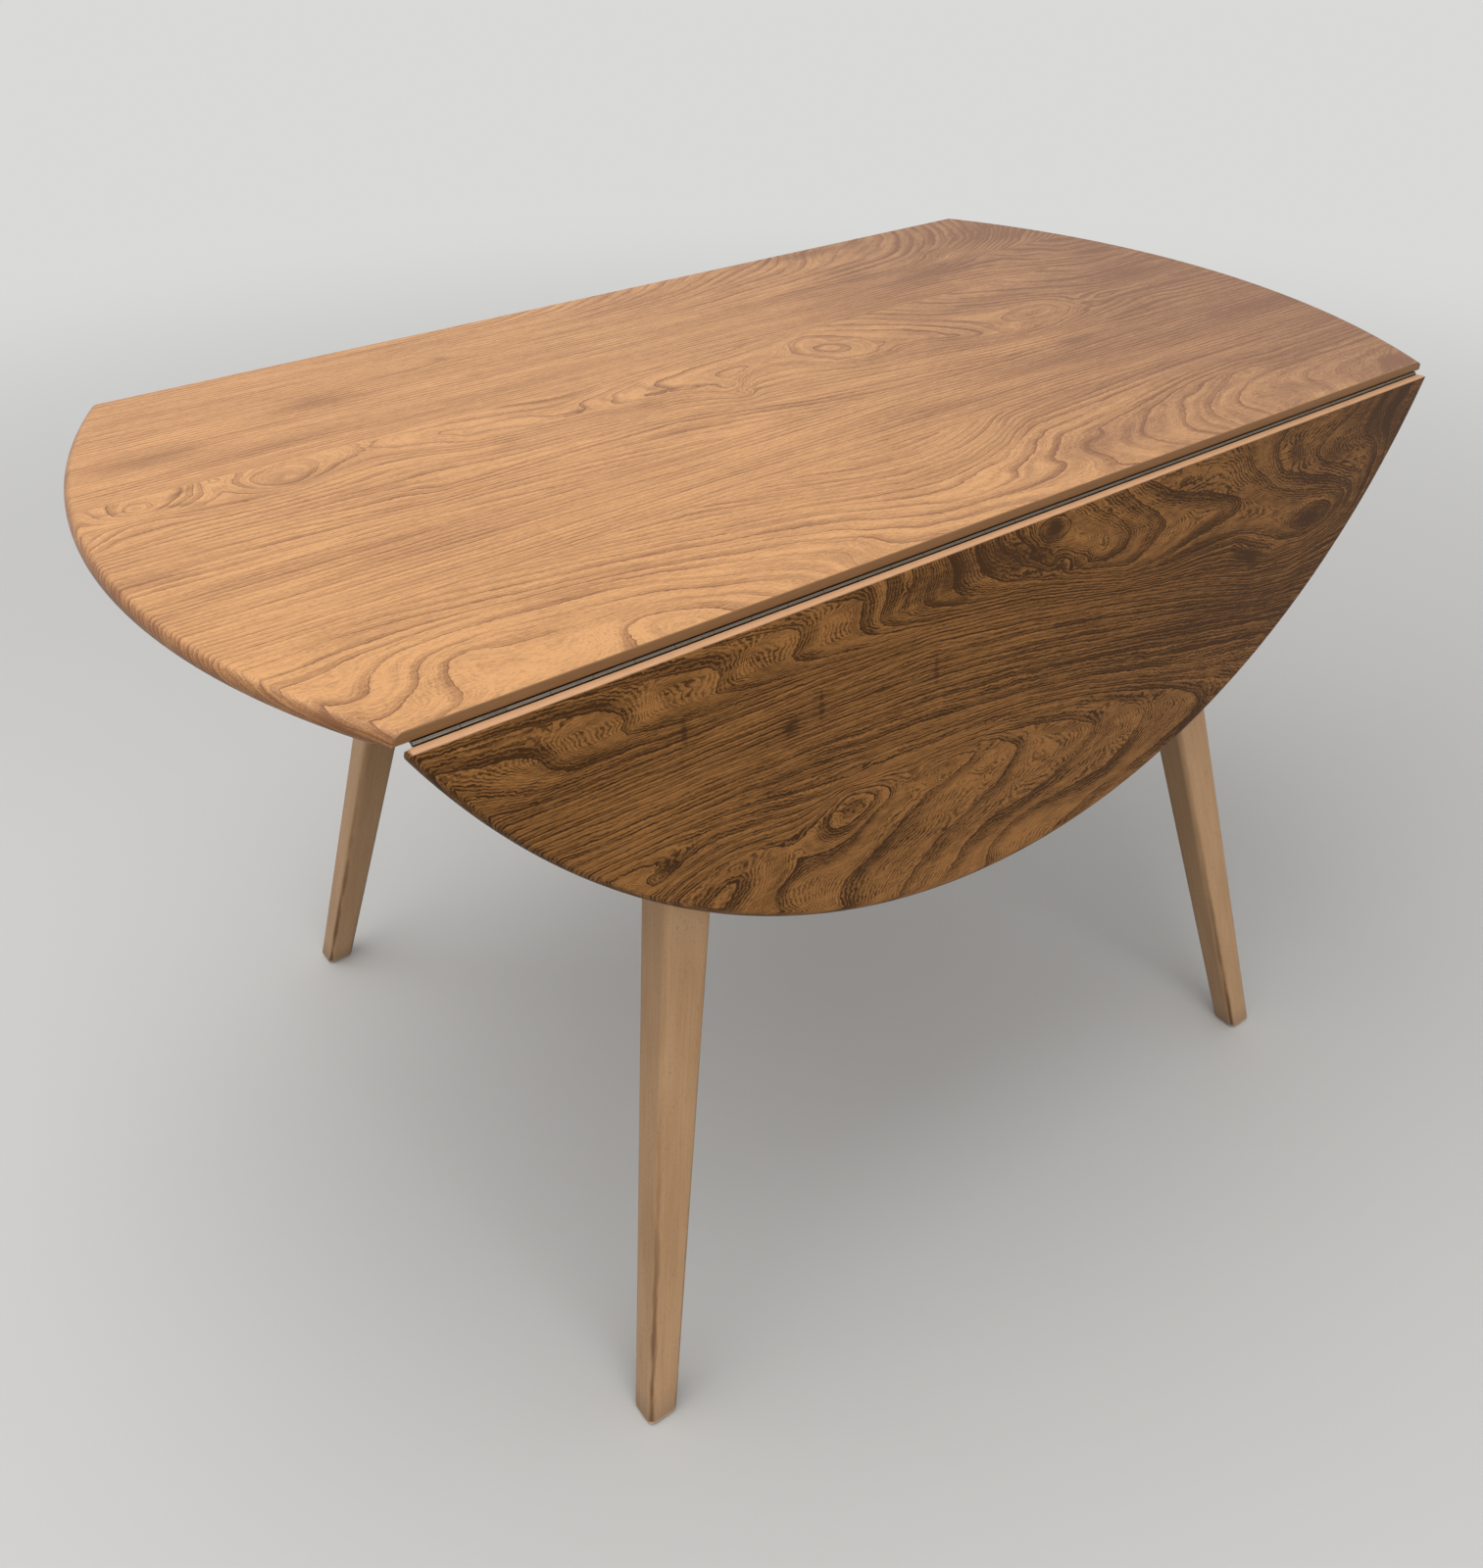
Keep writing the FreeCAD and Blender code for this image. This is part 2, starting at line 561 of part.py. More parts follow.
# Stays, with what carries and catches them
for side, x in (("left", -STAY_X), ("right", STAY_X)):
    other = "right" if side == "left" else "left"
    pieces = {
        "stay": stay(x),
        "stay_bracket": stay_bracket(x),
        "stay_pin": stay_pin(x),
        "stay_catch": turned(catch(x), pivot, leaf_swing),
    }
    for name, piece in pieces.items():
        nodes["front_%s_%s" % (side, name)] = piece
        nodes["rear_%s_%s" % (other, name)] = rear(piece)
plate_places = plate_screw_places(-STAY_X) + plate_screw_places(STAY_X)
nodes["front_bracket_screws"] = group(screws(PLATE_SCREW, plate_places))
nodes["rear_bracket_screws"] = rear(nodes["front_bracket_screws"])

# Legs with their mortises
corner_names = {
    (-1, -1): "front_left",
    (1, -1): "front_right",
    (-1, 1): "rear_left",
    (1, 1): "rear_right",
}
blanks = {corner: leg_blank(*corner) for corner in corner_names}
front_tenons = {end: side_rail_tenon(end) for end in (-1, 1)}
for (sx, sy), place in corner_names.items():
    along = front_tenons[sx] if sy < 0 else rear(front_tenons[-sx])
    nodes[place + "_leg"] = blanks[(sx, sy)].cut([along, end_rail_tenon(sx, sy)])

# Rails, shouldered to the legs
crossing = cross_rail()
brace_places = {corner: brace_screw_places(*corner) for corner in corner_names}
brace_holes = [hole for places in brace_places.values() for hole in holes(BRACE_SCREW, places)]
angle_holes = holes(ANGLE_SCREW, angle_screw_places(False))
side_rail = block(rail_x, (-rail_y - RAIL_T / 2, -inner_y), top_under, top_under - RAIL_DEPTH)
side_rail = side_rail.cut([blanks[(-1, -1)], blanks[(1, -1)]])
side_rail = side_rail.fuse(list(front_tenons.values())).removeSplitter()
nodes["front_side_rail"] = side_rail.cut(
    [crossing] + brace_holes + angle_holes + holes(PLATE_SCREW, plate_places))
nodes["rear_side_rail"] = rear(nodes["front_side_rail"])
end_rail = Part.makeBox(RAIL_T, 2 * rail_y, RAIL_DEPTH,
                        V(-rail_x - RAIL_T / 2, -rail_y, top_under - RAIL_DEPTH))
end_rail = end_rail.cut([blanks[(-1, -1)], blanks[(-1, 1)]])
end_rail = end_rail.fuse([end_rail_tenon(-1, -1), end_rail_tenon(-1, 1)]).removeSplitter()
nodes["left_end_rail"] = end_rail.cut(brace_holes + angle_holes)
nodes["right_end_rail"] = rear(nodes["left_end_rail"])
nodes["centre_cross_rail"] = crossing

# Corner braces and the angle brackets that hold the top
for corner, place in corner_names.items():
    nodes[place + "_corner_brace"] = brace(*corner).cut(holes(BRACE_SCREW, brace_places[corner]))
nodes["corner_brace_screws"] = group(
    [one for places in brace_places.values() for one in screws(BRACE_SCREW, places)])
pattern = angle_bracket()
angles = []
for at, inward in angle_places():
    copy = pattern.copy()
    copy.Placement = FreeCAD.Placement(at, FreeCAD.Rotation(ALONG, inward))
    angles.append(copy)
wing_holes = holes(ANGLE_SCREW, angle_screw_places(True)) + angle_holes
nodes["top_angle_brackets"] = group([angle.cut(wing_holes) for angle in angles])
nodes["top_angle_upper_screws"] = group(screws(ANGLE_SCREW, angle_screw_places(True)))
nodes["top_angle_rail_screws"] = group(screws(ANGLE_SCREW, angle_screw_places(False)))

os.makedirs("parts", exist_ok=True)
for name, shape in nodes.items():
    shape.exportStep("parts/%s.step" % name)
    print("%-28s solids %2d  valid %s  volume %.0f"
          % (name, len(shape.Solids), shape.isValid(), shape.Volume))
print("nodes %d, stay rests %.3f degrees from plumb, leaf pivot y %.2f z %.2f, stay pivot y %.3f z %.3f"
      % (len(nodes), stay_rest_angle, pivot.y, pivot.z, stay_pivot.y, stay_pivot.z))
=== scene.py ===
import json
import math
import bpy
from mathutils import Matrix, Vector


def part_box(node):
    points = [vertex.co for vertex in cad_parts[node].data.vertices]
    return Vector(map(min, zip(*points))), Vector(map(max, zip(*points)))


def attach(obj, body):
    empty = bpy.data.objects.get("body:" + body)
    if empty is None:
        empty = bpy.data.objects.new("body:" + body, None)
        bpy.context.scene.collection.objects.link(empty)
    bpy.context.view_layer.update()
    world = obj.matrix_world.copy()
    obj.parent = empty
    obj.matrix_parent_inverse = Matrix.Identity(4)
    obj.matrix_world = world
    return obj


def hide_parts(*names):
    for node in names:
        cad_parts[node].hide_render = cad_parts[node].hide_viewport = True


bl_info = {
    "name": "Drop-leaf dining table",
    "version": (1, 0, 0),
    "blender": (4, 5, 0),
    "location": "3D Viewport > Sidebar > Dining table",
    "description": "Elm boards, beech legs and steel fittings on the packed drop-leaf table",
    "category": "Object",
}

import bpy
import numpy as np
from mathutils import Matrix, Vector
from mathutils.geometry import delaunay_2d_cdt

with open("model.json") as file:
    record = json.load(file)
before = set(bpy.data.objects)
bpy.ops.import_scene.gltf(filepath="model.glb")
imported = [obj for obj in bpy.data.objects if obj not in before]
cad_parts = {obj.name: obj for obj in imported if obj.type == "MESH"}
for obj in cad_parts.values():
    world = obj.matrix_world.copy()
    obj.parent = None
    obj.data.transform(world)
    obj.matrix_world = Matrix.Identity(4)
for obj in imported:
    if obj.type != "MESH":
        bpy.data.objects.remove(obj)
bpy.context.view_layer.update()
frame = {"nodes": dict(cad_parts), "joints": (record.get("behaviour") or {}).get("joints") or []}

# Plans, edges and grain are worked out in millimetres. Meshes are in metres.
MILLI = 1000.0                # millimetres in a metre
TOP_LOW, TOP_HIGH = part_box("top_panel")
FRONT_HINGE = next(joint for joint in frame["joints"] if joint["name"] == "front_leaf_hinge")
HINGE_LINE = Vector(FRONT_HINGE["pos_m"])
LEAF_SWING = math.radians(FRONT_HINGE["range_deg"][1])
BARREL_RADIUS = 2.2           # millimetres, of a hinge
CORNERS = {"front_left": (-1, -1), "front_right": (1, -1), "rear_left": (-1, 1), "rear_right": (1, 1)}


# Sizes and colours that a user would change

def length(name, description, default):
    return bpy.props.FloatProperty(name=name, description=description, default=default, min=0.0,
                                   precision=4, unit="LENGTH")


def amount(name, description, default):
    return bpy.props.FloatProperty(name=name, description=description, default=default, min=0.0)


def power(name, description, default):
    return bpy.props.FloatProperty(name=name, description=description, default=default, min=0.0,
                                   unit="POWER")


def colour(name, description, default):
    return bpy.props.FloatVectorProperty(name=name, description=description, default=default, size=3,
                                         min=0.0, max=1.0, subtype="COLOR")


class BoardSizes(bpy.types.PropertyGroup):
    open_length: length("Open length", "Oval's length along the hinges", 2 * TOP_HIGH.x)
    open_width: length("Open width", "Oval's width with both leaves up", 1.214)
    panel_width: length("Panel width", "Middle board, joint to joint", 2 * TOP_HIGH.y)
    thickness: length("Thickness", "Thickness of every board", TOP_HIGH.z - TOP_LOW.z)
    joint_gap: length("Joint gap", "Air between panel and leaf", 0.001)
    round_over: length("Round-over", "Radius on top of the oval edge", 0.007)
    soft_edge: length("Soft edge", "Radius between the edge and its undercut", 0.0025)
    undercut_height: length("Undercut height", "How far the undercut rises to the edge", 0.005)
    undercut_reach: length("Undercut reach", "How far in the undercut starts", 0.022)
    corner_round: length("Corner round", "Corner radius in plan, where oval meets joint", 0.005)
    joint_arris: length("Joint arris", "Softening of the joint's upper edge", 0.0009)
    hinge_lip: length("Hinge lip", "Wood left over a hinge flap", 0.0091)
    hinge_reach: length("Hinge reach", "Joint edge to the far side of the hinge rebate", 0.0145)
    hinge_cove: length("Hinge cove", "Radius of the cove round the hinge's barrel", 0.0025)


class LegSizes(bpy.types.PropertyGroup):
    foot_x: length("Foot place X", "Middle of a foot, from the table's middle", 0.376)
    foot_y: length("Foot place Y", "Middle of a foot, from the table's middle", 0.339)
    splay_x: length("Splay X", "How far a foot stands outside the leg's top", 0.149)
    splay_y: length("Splay Y", "How far a foot stands outside the leg's top", 0.137)
    top_x: length("Top size X", "Leg's width at the top", 0.051)
    top_y: length("Top size Y", "Leg's depth at the top", 0.044)
    foot_size_x: length("Foot size X", "Leg's width at the floor", 0.028)
    foot_size_y: length("Foot size Y", "Leg's depth at the floor", 0.027)
    arris: length("Arris", "Radius along the leg's four edges", 0.006)
    chamfer: length("Foot chamfer", "Chamfer round the foot", 0.003)


class WoodColours(bpy.types.PropertyGroup):
    top_pale: colour("Top, pale wood", "Middle board between its growth rings", (0.735, 0.375, 0.15))
    top_ring: colour("Top, growth ring", "Dark line of a growth ring", (0.27, 0.11, 0.042))
    leaf_pale: colour("Leaf, pale wood", "Leaves between their growth rings", (0.50, 0.222, 0.064))
    leaf_ring: colour("Leaf, growth ring", "Dark line of a growth ring", (0.07, 0.026, 0.004))
    smudge: colour("Smudges", "Purplish brown in the darkest patches", (0.23, 0.115, 0.075))
    panel_joint: colour("Joint edge of the middle board", "Darkened by handling", (0.33, 0.165, 0.065))
    leaf_joint: colour("Joint edge of a leaf", "Pale, with little finish left", (0.76, 0.43, 0.235))
    beech_pale: colour("Beech, pale wood", "Face of the legs", (0.71, 0.44, 0.24))
    beech_dark: colour("Beech, grain", "Grain lines of the legs", (0.56, 0.32, 0.16))
    beech_worn: colour("Beech, wear", "Rubbed brown along the lower arrises", (0.20, 0.10, 0.045))
    beech_bare: colour("Beech, bare", "Chamfer round a foot, rubbed bare", (0.84, 0.62, 0.42))


class SteelColours(bpy.types.PropertyGroup):
    hinge: colour("Hinge steel", "Continuous hinges and their pins", (0.20, 0.165, 0.13))
    bracket: colour("Bracket steel", "Stay brackets, angle brackets and pins", (0.55, 0.55, 0.53))
    screw: colour("Screw steel", "Screws", (0.50, 0.48, 0.44))
    stain: colour("Stain", "Dull patches on every fitting", (0.12, 0.09, 0.065))
    # Painted shade: laid on a hinge everywhere but the side of its barrel that faces up and out.
    painted_barrel_shade: colour("Painted shade", "Dark wax and dirt beside a hinge's barrel", (0.028, 0.017, 0.009))


class StageSettings(bpy.types.PropertyGroup):
    floor_size: length("Floor size", "Side of the square floor", 60.0)
    floor_colour: colour("Floor", "Floor as it is seen", (0.70, 0.70, 0.69))
    floor_cloud: colour("Floor's clouds", "Faint darker clouds in the floor", (0.5, 0.5, 0.49))
    floor_bounce: colour("Floor's bounce", "Floor as it lights the table", (0.11, 0.11, 0.108))
    backdrop_colour: colour("Backdrop", "World behind the floor", (0.70, 0.70, 0.69))
    sky_colour: colour("Room light's colour", "Even light from above", (1.0, 0.985, 0.965))
    sky_strength: amount("Room light", "Strength of the even light from above", 0.55)
    horizon_share: amount("Room light low down", "Share of it left near the floor", 0.1)
    overhead_power: power("Overhead lamp", "Power of the soft lamp over the table", 32.0)
    front_power: power("Front lamp", "Power of the soft lamp in front", 36.0)
    side_power: power("Side lamp", "Power of the soft lamp at the left", 5.0)


class TableSettings(bpy.types.PropertyGroup):
    boards: bpy.props.PointerProperty(type=BoardSizes)
    legs: bpy.props.PointerProperty(type=LegSizes)
    wood: bpy.props.PointerProperty(type=WoodColours)
    steel: bpy.props.PointerProperty(type=SteelColours)
    stage: bpy.props.PointerProperty(type=StageSettings)


def settings():
    return bpy.context.scene.dining_table


class Millimetres:
    """The sizes of a property group, in millimetres."""

    def __init__(self, group):
        self.group = group

    def __getattr__(self, name):
        return getattr(self.group, name) * MILLI


# Growth rings, drawn in millimetres. Each board has its low and high y, and lines of equal
# ring number with the places they pass.
PANEL_BOARDS = [
    (-307, -168, [
        (1, [(-335, -307), (-333, -291), (-325, -282), (-310, -280), (-295, -283), (-280, -290),
            (-268, -300), (-264, -307)]),
        (2, [(-470, -307), (-450, -297), (-446, -280), (-445, -266), (-436, -253), (-421, -250),
            (-408, -257), (-395, -260), (-350, -263), (-320, -264), (-300, -267), (-280, -274),
            (-260, -284), (-245, -294), (-233, -306)]),
        (3, [(-516, -272), (-505, -284), (-492, -288), (-480, -281), (-465, -268), (-457, -254),
            (-449, -243), (-434, -239), (-410, -237), (-390, -239), (-360, -243), (-330, -248),
            (-300, -254), (-280, -260), (-262, -270), (-245, -277), (-225, -285), (-208, -293),
            (-202, -306)]),
        (4, [(-522, -250), (-511, -260), (-498, -262), (-488, -253), (-482, -241), (-471, -232),
            (-455, -225), (-430, -223), (-400, -225), (-370, -228), (-340, -232), (-310, -236),
            (-285, -243), (-262, -254), (-240, -266), (-215, -275), (-200, -283), (-189, -293),
            (-184, -306)]),
        (5, [(-545, -222), (-520, -223), (-500, -220), (-480, -215), (-450, -213), (-420, -212),
            (-390, -214), (-360, -218), (-330, -222), (-300, -227), (-270, -236), (-245, -246),
            (-220, -254), (-200, -262), (-180, -271), (-164, -280), (-156, -291), (-161, -306)]),
        (6, [(-550, -207), (-520, -208), (-490, -205), (-460, -203), (-430, -204), (-400, -206),
            (-370, -211), (-340, -215), (-310, -219), (-280, -225), (-250, -233), (-225, -240),
            (-200, -248), (-180, -253), (-160, -260), (-145, -268), (-130, -276), (-124, -289),
            (-117, -298), (-96, -306)]),
        (7, [(-555, -192), (-520, -190), (-480, -187), (-440, -190), (-400, -196), (-360, -203),
            (-320, -210), (-280, -217), (-240, -227), (-200, -236), (-175, -244), (-150, -252),
            (-135, -258), (-123, -269), (-100, -279), (-88, -288), (-68, -293), (-40, -297), (-10, -301),
            (10, -307)]),
        (7, [(122, -307), (110, -296), (114, -284), (112, -265), (118, -257), (140, -253), (149, -247),
            (148, -241), (165, -237), (200, -231), (235, -223), (270, -215), (310, -210), (360, -208),
            (410, -213), (540, -212)]),
        (8, [(-558, -178), (-500, -178), (-450, -179), (-400, -186), (-350, -194), (-300, -203),
            (-250, -214), (-200, -226), (-160, -237), (-135, -245), (-115, -253), (-100, -263), (-80, -272),
            (-60, -280), (-30, -284), (0, -286), (30, -287), (50, -286), (68, -279), (79, -270), (76, -259),
            (90, -252), (103, -241), (118, -232), (150, -228), (200, -221), (250, -211), (310, -202),
            (380, -202), (540, -206)]),
        (9, [(-558, -171), (-450, -171), (-400, -177), (-300, -193), (-200, -215), (-150, -226),
            (-120, -236), (-98, -245), (-80, -253), (-60, -262), (-43, -271), (-20, -274), (10, -274),
            (30, -268), (38, -258), (55, -251), (72, -244), (82, -236), (97, -226), (112, -218),
            (140, -215), (200, -210), (260, -202), (320, -196), (540, -199)]),
        (10, [(-400, -169), (-300, -184), (-200, -206), (-150, -216), (-110, -227), (-80, -240),
            (-58, -249), (-40, -252), (-20, -253), (0, -248), (20, -243), (42, -240), (58, -231),
            (77, -221), (97, -213), (113, -205), (140, -203), (200, -200), (320, -189), (540, -192)]),
        (11, [(-320, -176), (-200, -198), (-130, -213), (-80, -230), (-50, -238), (-25, -240), (5, -237),
            (40, -229), (70, -218), (92, -205), (115, -196), (200, -191), (320, -182), (540, -185)]),
        (14, [(-200, -176), (-100, -203), (-40, -220), (20, -218), (70, -202), (110, -180), (200, -171)]),
        (17, [(-130, -172), (-60, -194), (-10, -200), (40, -194), (80, -178)]),
        (14, [(400, -166), (540, -166)]),
        (6, [(183, -307), (173, -291), (168, -278), (171, -268), (182, -260), (200, -246), (217, -237),
            (240, -231), (258, -225), (285, -219), (320, -215), (370, -214), (410, -218), (530, -218)]),
        (5, [(221, -307), (211, -291), (213, -278), (221, -269), (237, -256), (247, -246), (259, -239),
            (282, -234), (303, -225), (335, -219), (370, -220), (410, -225), (525, -224)]),
        (4, [(247, -307), (248, -291), (248, -278), (258, -265), (275, -255), (292, -246), (311, -240),
            (328, -231), (347, -226), (365, -226), (388, -231), (415, -234), (515, -232)]),
        (3, [(286, -307), (286, -290), (284, -277), (293, -267), (307, -259), (322, -252), (342, -246),
            (365, -243), (430, -243), (512, -243)]),
        (2, [(374, -307), (387, -292), (385, -283), (380, -276), (385, -268), (402, -263), (432, -258),
            (500, -257)]),
        (1, [(453, -307), (466, -296), (482, -285), (505, -273)]),
        (0.6, [(-300, -304)]),
        (1.65, [(-400, -292), (-370, -287)]),
        (2.65, [(348, -297), (350, -282)]),
        (4.4, [(-512, -238)]),
    ]),
    (-168, -75, [
        (0, [(-560, -166), (-400, -167), (-200, -165), (0, -166), (200, -163), (400, -166), (560, -167)]),
        (5, [(-560, -140), (-350, -143), (-150, -138), (50, -140), (200, -136), (350, -142), (560, -138)]),
        (10, [(-560, -114), (-350, -113), (-150, -117), (50, -111), (200, -115), (350, -116), (560, -110)]),
        (14, [(-560, -93), (-350, -91), (-150, -95), (50, -90), (200, -97), (350, -92), (560, -90)]),
        (17, [(-560, -77), (0, -76), (560, -77)]),
    ]),
    (-75, 95, [
        (0, [(-575, -77), (-450, -77), (-350, -80)]),
        (3, [(-560, -52), (-480, -54), (-400, -56), (-300, -62), (-200, -71), (-140, -80)]),
        (6, [(-565, -29), (-500, -30), (-440, -33), (-390, -39), (-340, -44), (-280, -43), (-200, -46),
            (-100, -58), (-20, -72), (20, -80)]),
        (9, [(-568, -9), (-500, -9), (-440, -12), (-400, -18), (-360, -21), (-335, -30), (-300, -30),
            (-200, -26), (-120, -26), (-60, -38), (0, -54), (60, -64), (120, -71), (180, -78)]),
        (12, [(-570, 8), (-500, 9), (-440, 6), (-380, 6), (-320, 5), (-260, -2), (-200, -4), (-140, -6),
            (-90, -12), (-50, -25), (0, -32), (60, -42), (120, -50), (200, -60), (280, -66), (340, -64),
            (400, -68), (450, -64), (560, -66)]),
        (15, [(-572, 20), (-555, 30), (-520, 34), (-480, 31), (-440, 27), (-390, 29), (-350, 35),
            (-310, 31), (-280, 20), (-230, 16), (-170, 14), (-130, 6), (-90, 2), (-60, -8), (-44, -16),
            (-25, -12), (20, -14), (60, -20), (100, -28), (150, -34), (200, -41), (250, -49), (300, -53),
            (350, -48), (400, -41), (440, -32), (465, -32), (490, -38), (560, -42)]),
        (17, [(-570, 38), (-556, 49), (-538, 53), (-515, 53), (-498, 47), (-475, 43), (-445, 39),
            (-415, 38), (-390, 44), (-350, 50), (-320, 45), (-295, 36), (-270, 29), (-220, 26), (-170, 24),
            (-140, 16), (-118, 14), (-90, 14), (-65, 5), (-46, -8), (-30, -1), (0, 5), (25, 5), (50, -3),
            (80, -15), (110, -19), (150, -19), (190, -26), (230, -39), (270, -46), (310, -46), (345, -37),
            (385, -27), (430, -18), (500, -20), (560, -24)]),
        (18, [(-470, 92), (-466, 78), (-462, 66), (-452, 53), (-436, 45), (-415, 42), (-395, 47),
            (-372, 54), (-350, 57), (-328, 53), (-305, 45), (-285, 38), (-262, 33), (-200, 29), (-160, 28),
            (-138, 21), (-118, 21), (-95, 21), (-70, 13), (-50, 0), (-41, -8), (-32, 3), (-10, 15),
            (15, 19), (40, 13), (62, 0), (85, -10), (110, -14), (145, -12), (185, -18), (225, -33),
            (265, -40), (310, -39), (345, -29), (372, -18), (390, -5), (415, 3), (460, -2), (500, -1),
            (560, 3)]),
        (19, [(-448, 94), (-456, 80), (-448, 62), (-434, 51), (-415, 47)]),
        (20, [(-410, 93), (-432, 86), (-443, 76), (-440, 62), (-430, 54), (-415, 51)]),
        (19, [(-190, 74), (-220, 80), (-250, 86), (-280, 90), (-310, 92), (-335, 91), (-348, 86),
            (-343, 78), (-330, 70), (-310, 62), (-295, 56), (-282, 46), (-268, 39), (-240, 37), (-200, 33),
            (-170, 31), (-150, 28), (-130, 24), (-110, 26), (-88, 27), (-66, 19), (-48, 5), (-40, -6),
            (-30, 8), (-10, 22), (10, 27), (24, 27), (42, 20), (62, 5), (84, -6), (110, -10), (140, -8),
            (165, -7), (195, -16), (225, -27), (258, -36), (300, -34)]),
        (19, [(-190, 74), (-170, 72), (-150, 75), (-125, 81), (-95, 86), (-60, 88)]),
        (20, [(-290, 75), (-275, 75), (-260, 69), (-230, 68), (-210, 63), (-198, 54), (-184, 48),
            (-200, 43), (-215, 44), (-235, 48), (-250, 54), (-262, 51), (-272, 55), (-283, 66),
            (-290, 75)]),
        (20, [(-60, 83), (-90, 80), (-112, 76), (-132, 70), (-150, 66), (-160, 62), (-162, 50), (-158, 41),
            (-145, 36), (-130, 29), (-110, 30), (-86, 29)]),
        (21, [(60, 93), (20, 85), (-40, 81), (-80, 76), (-110, 68), (-130, 61), (-132, 53), (-139, 42),
            (-125, 36), (-108, 32), (-85, 30), (-62, 22), (-46, 9), (-38, -4), (-28, 10), (-10, 26),
            (5, 32), (20, 33), (42, 27), (60, 12), (80, 0), (105, -7), (135, -4), (155, 2), (175, 1),
            (195, -10), (225, -19), (238, -9), (235, 5), (220, 25), (200, 45), (175, 65), (150, 82),
            (130, 93)]),
        (22, [(90, 90), (50, 82), (0, 77), (-40, 74), (-62, 68), (-80, 65), (-88, 58), (-87, 50), (-96, 42),
            (-80, 40), (-60, 35), (-42, 27), (-30, 16), (-22, 20), (-8, 30), (8, 36), (22, 38), (42, 33),
            (58, 20), (75, 6), (105, -3), (135, 0), (155, 6), (180, 2), (200, -6), (207, 4), (203, 18),
            (185, 38), (160, 56), (130, 76), (105, 88), (90, 90)]),
        (23, [(62, 42), (66, 62), (80, 77), (98, 80), (118, 66), (136, 46), (142, 30), (132, 13), (115, 5),
            (95, 8), (80, 20), (68, 32), (62, 42)]),
        (24, [(80, 46), (84, 56), (92, 58), (102, 51), (112, 38), (110, 26), (98, 24), (86, 33), (80, 46)]),
        (24.7, [(93, 42)]),
        (20.7, [(-255, 61), (-228, 56)]),
        (22.7, [(-526, 79)]),
        (20.8, [(-415, 63)]),
        (20, [(250, -28), (258, -13), (262, 0), (250, 20), (230, 40), (205, 62), (180, 82), (165, 93)]),
        (22.7, [(-55, 54), (-20, 60), (20, 62), (40, 55)]),
        (23.6, [(75, 62), (118, 46)]),
        (22.75, [(165, 30), (180, 20)]),
        (19, [(280, 40), (300, 30), (330, 26), (352, 18), (364, 2), (362, -12), (345, -22), (320, -28),
            (295, -30)]),
        (20.5, [(310, -5), (335, 5)]),
        (17, [(270, 62), (310, 46), (350, 36), (378, 22), (386, 5), (384, -10), (370, -22)]),
        (14, [(300, 92), (350, 70), (400, 45), (440, 28), (480, 24), (560, 30)]),
        (16, [(420, 92), (440, 78), (460, 66), (500, 66), (560, 72)]),
        (22, [(-536, 80), (-530, 87), (-520, 86), (-515, 78), (-521, 70), (-532, 71), (-536, 80)]),
        (20, [(-560, 92), (-556, 78), (-548, 68), (-530, 62), (-510, 60), (-498, 66), (-484, 76),
            (-478, 92)]),
    ]),
    (95, 173, [
        (0, [(-570, 96), (-400, 97), (-200, 97), (0, 96), (200, 94)]),
        (4, [(-565, 114), (-400, 117), (-200, 113), (0, 116), (150, 112), (300, 108), (380, 96)]),
        (8, [(-565, 133), (-400, 138), (-250, 132), (-100, 133), (50, 136), (200, 131), (300, 133),
            (380, 130), (420, 116), (450, 104), (480, 94)]),
        (10, [(400, 147), (428, 145), (440, 130), (456, 121), (478, 115), (510, 104), (552, 98)]),
        (11, [(420, 172), (432, 156), (448, 143), (474, 137), (484, 126), (502, 117), (530, 113),
            (552, 112)]),
        (12, [(-560, 152), (-400, 158), (-250, 152), (-100, 150), (50, 153), (200, 151), (320, 158)]),
        (12, [(450, 172), (462, 160), (482, 148), (492, 135), (510, 127), (545, 125)]),
        (13, [(480, 172), (500, 152), (520, 142), (550, 140)]),
        (15, [(-555, 167), (-400, 172), (-200, 167), (0, 167), (200, 167), (320, 171)]),
    ]),
    (173, 307, [
        (0, [(-560, 174), (0, 173), (250, 177), (330, 184), (366, 196), (376, 208), (398, 212), (440, 237),
            (462, 270), (474, 300)]),
        (3, [(-560, 189), (-300, 191), (0, 188), (200, 192), (300, 199), (350, 212), (392, 238), (420, 270),
            (436, 307)]),
        (6, [(-560, 203), (-300, 205), (-200, 202), (0, 204), (100, 211), (190, 222), (250, 229),
            (300, 238), (340, 258), (372, 285), (386, 307)]),
        (9, [(-560, 218), (-240, 220), (-200, 226), (-160, 219), (0, 221), (80, 231), (150, 245),
            (200, 252), (222, 268), (238, 286), (252, 307)]),
        (12, [(-560, 233), (-240, 236), (-201, 244), (-165, 234), (0, 238), (60, 246), (110, 258),
            (150, 275), (205, 298), (215, 307)]),
        (15, [(-555, 248), (-200, 250), (-40, 252), (20, 262), (70, 275), (110, 298), (118, 307)]),
        (18, [(-545, 262), (-200, 263), (-60, 268), (0, 278), (40, 298), (50, 307)]),
        (21, [(-530, 277), (-200, 277), (-100, 281), (-50, 290), (-20, 307)]),
        (24, [(-520, 292), (-200, 292), (-120, 298), (-95, 307)]),
        (-4, [(300, 173), (380, 181), (400, 192), (424, 197), (462, 216), (490, 240), (506, 270)]),
        (-8, [(400, 173), (440, 183), (480, 205), (518, 240)]),
        (-11, [(450, 173), (490, 188), (525, 212), (545, 232)]),
    ]),
]
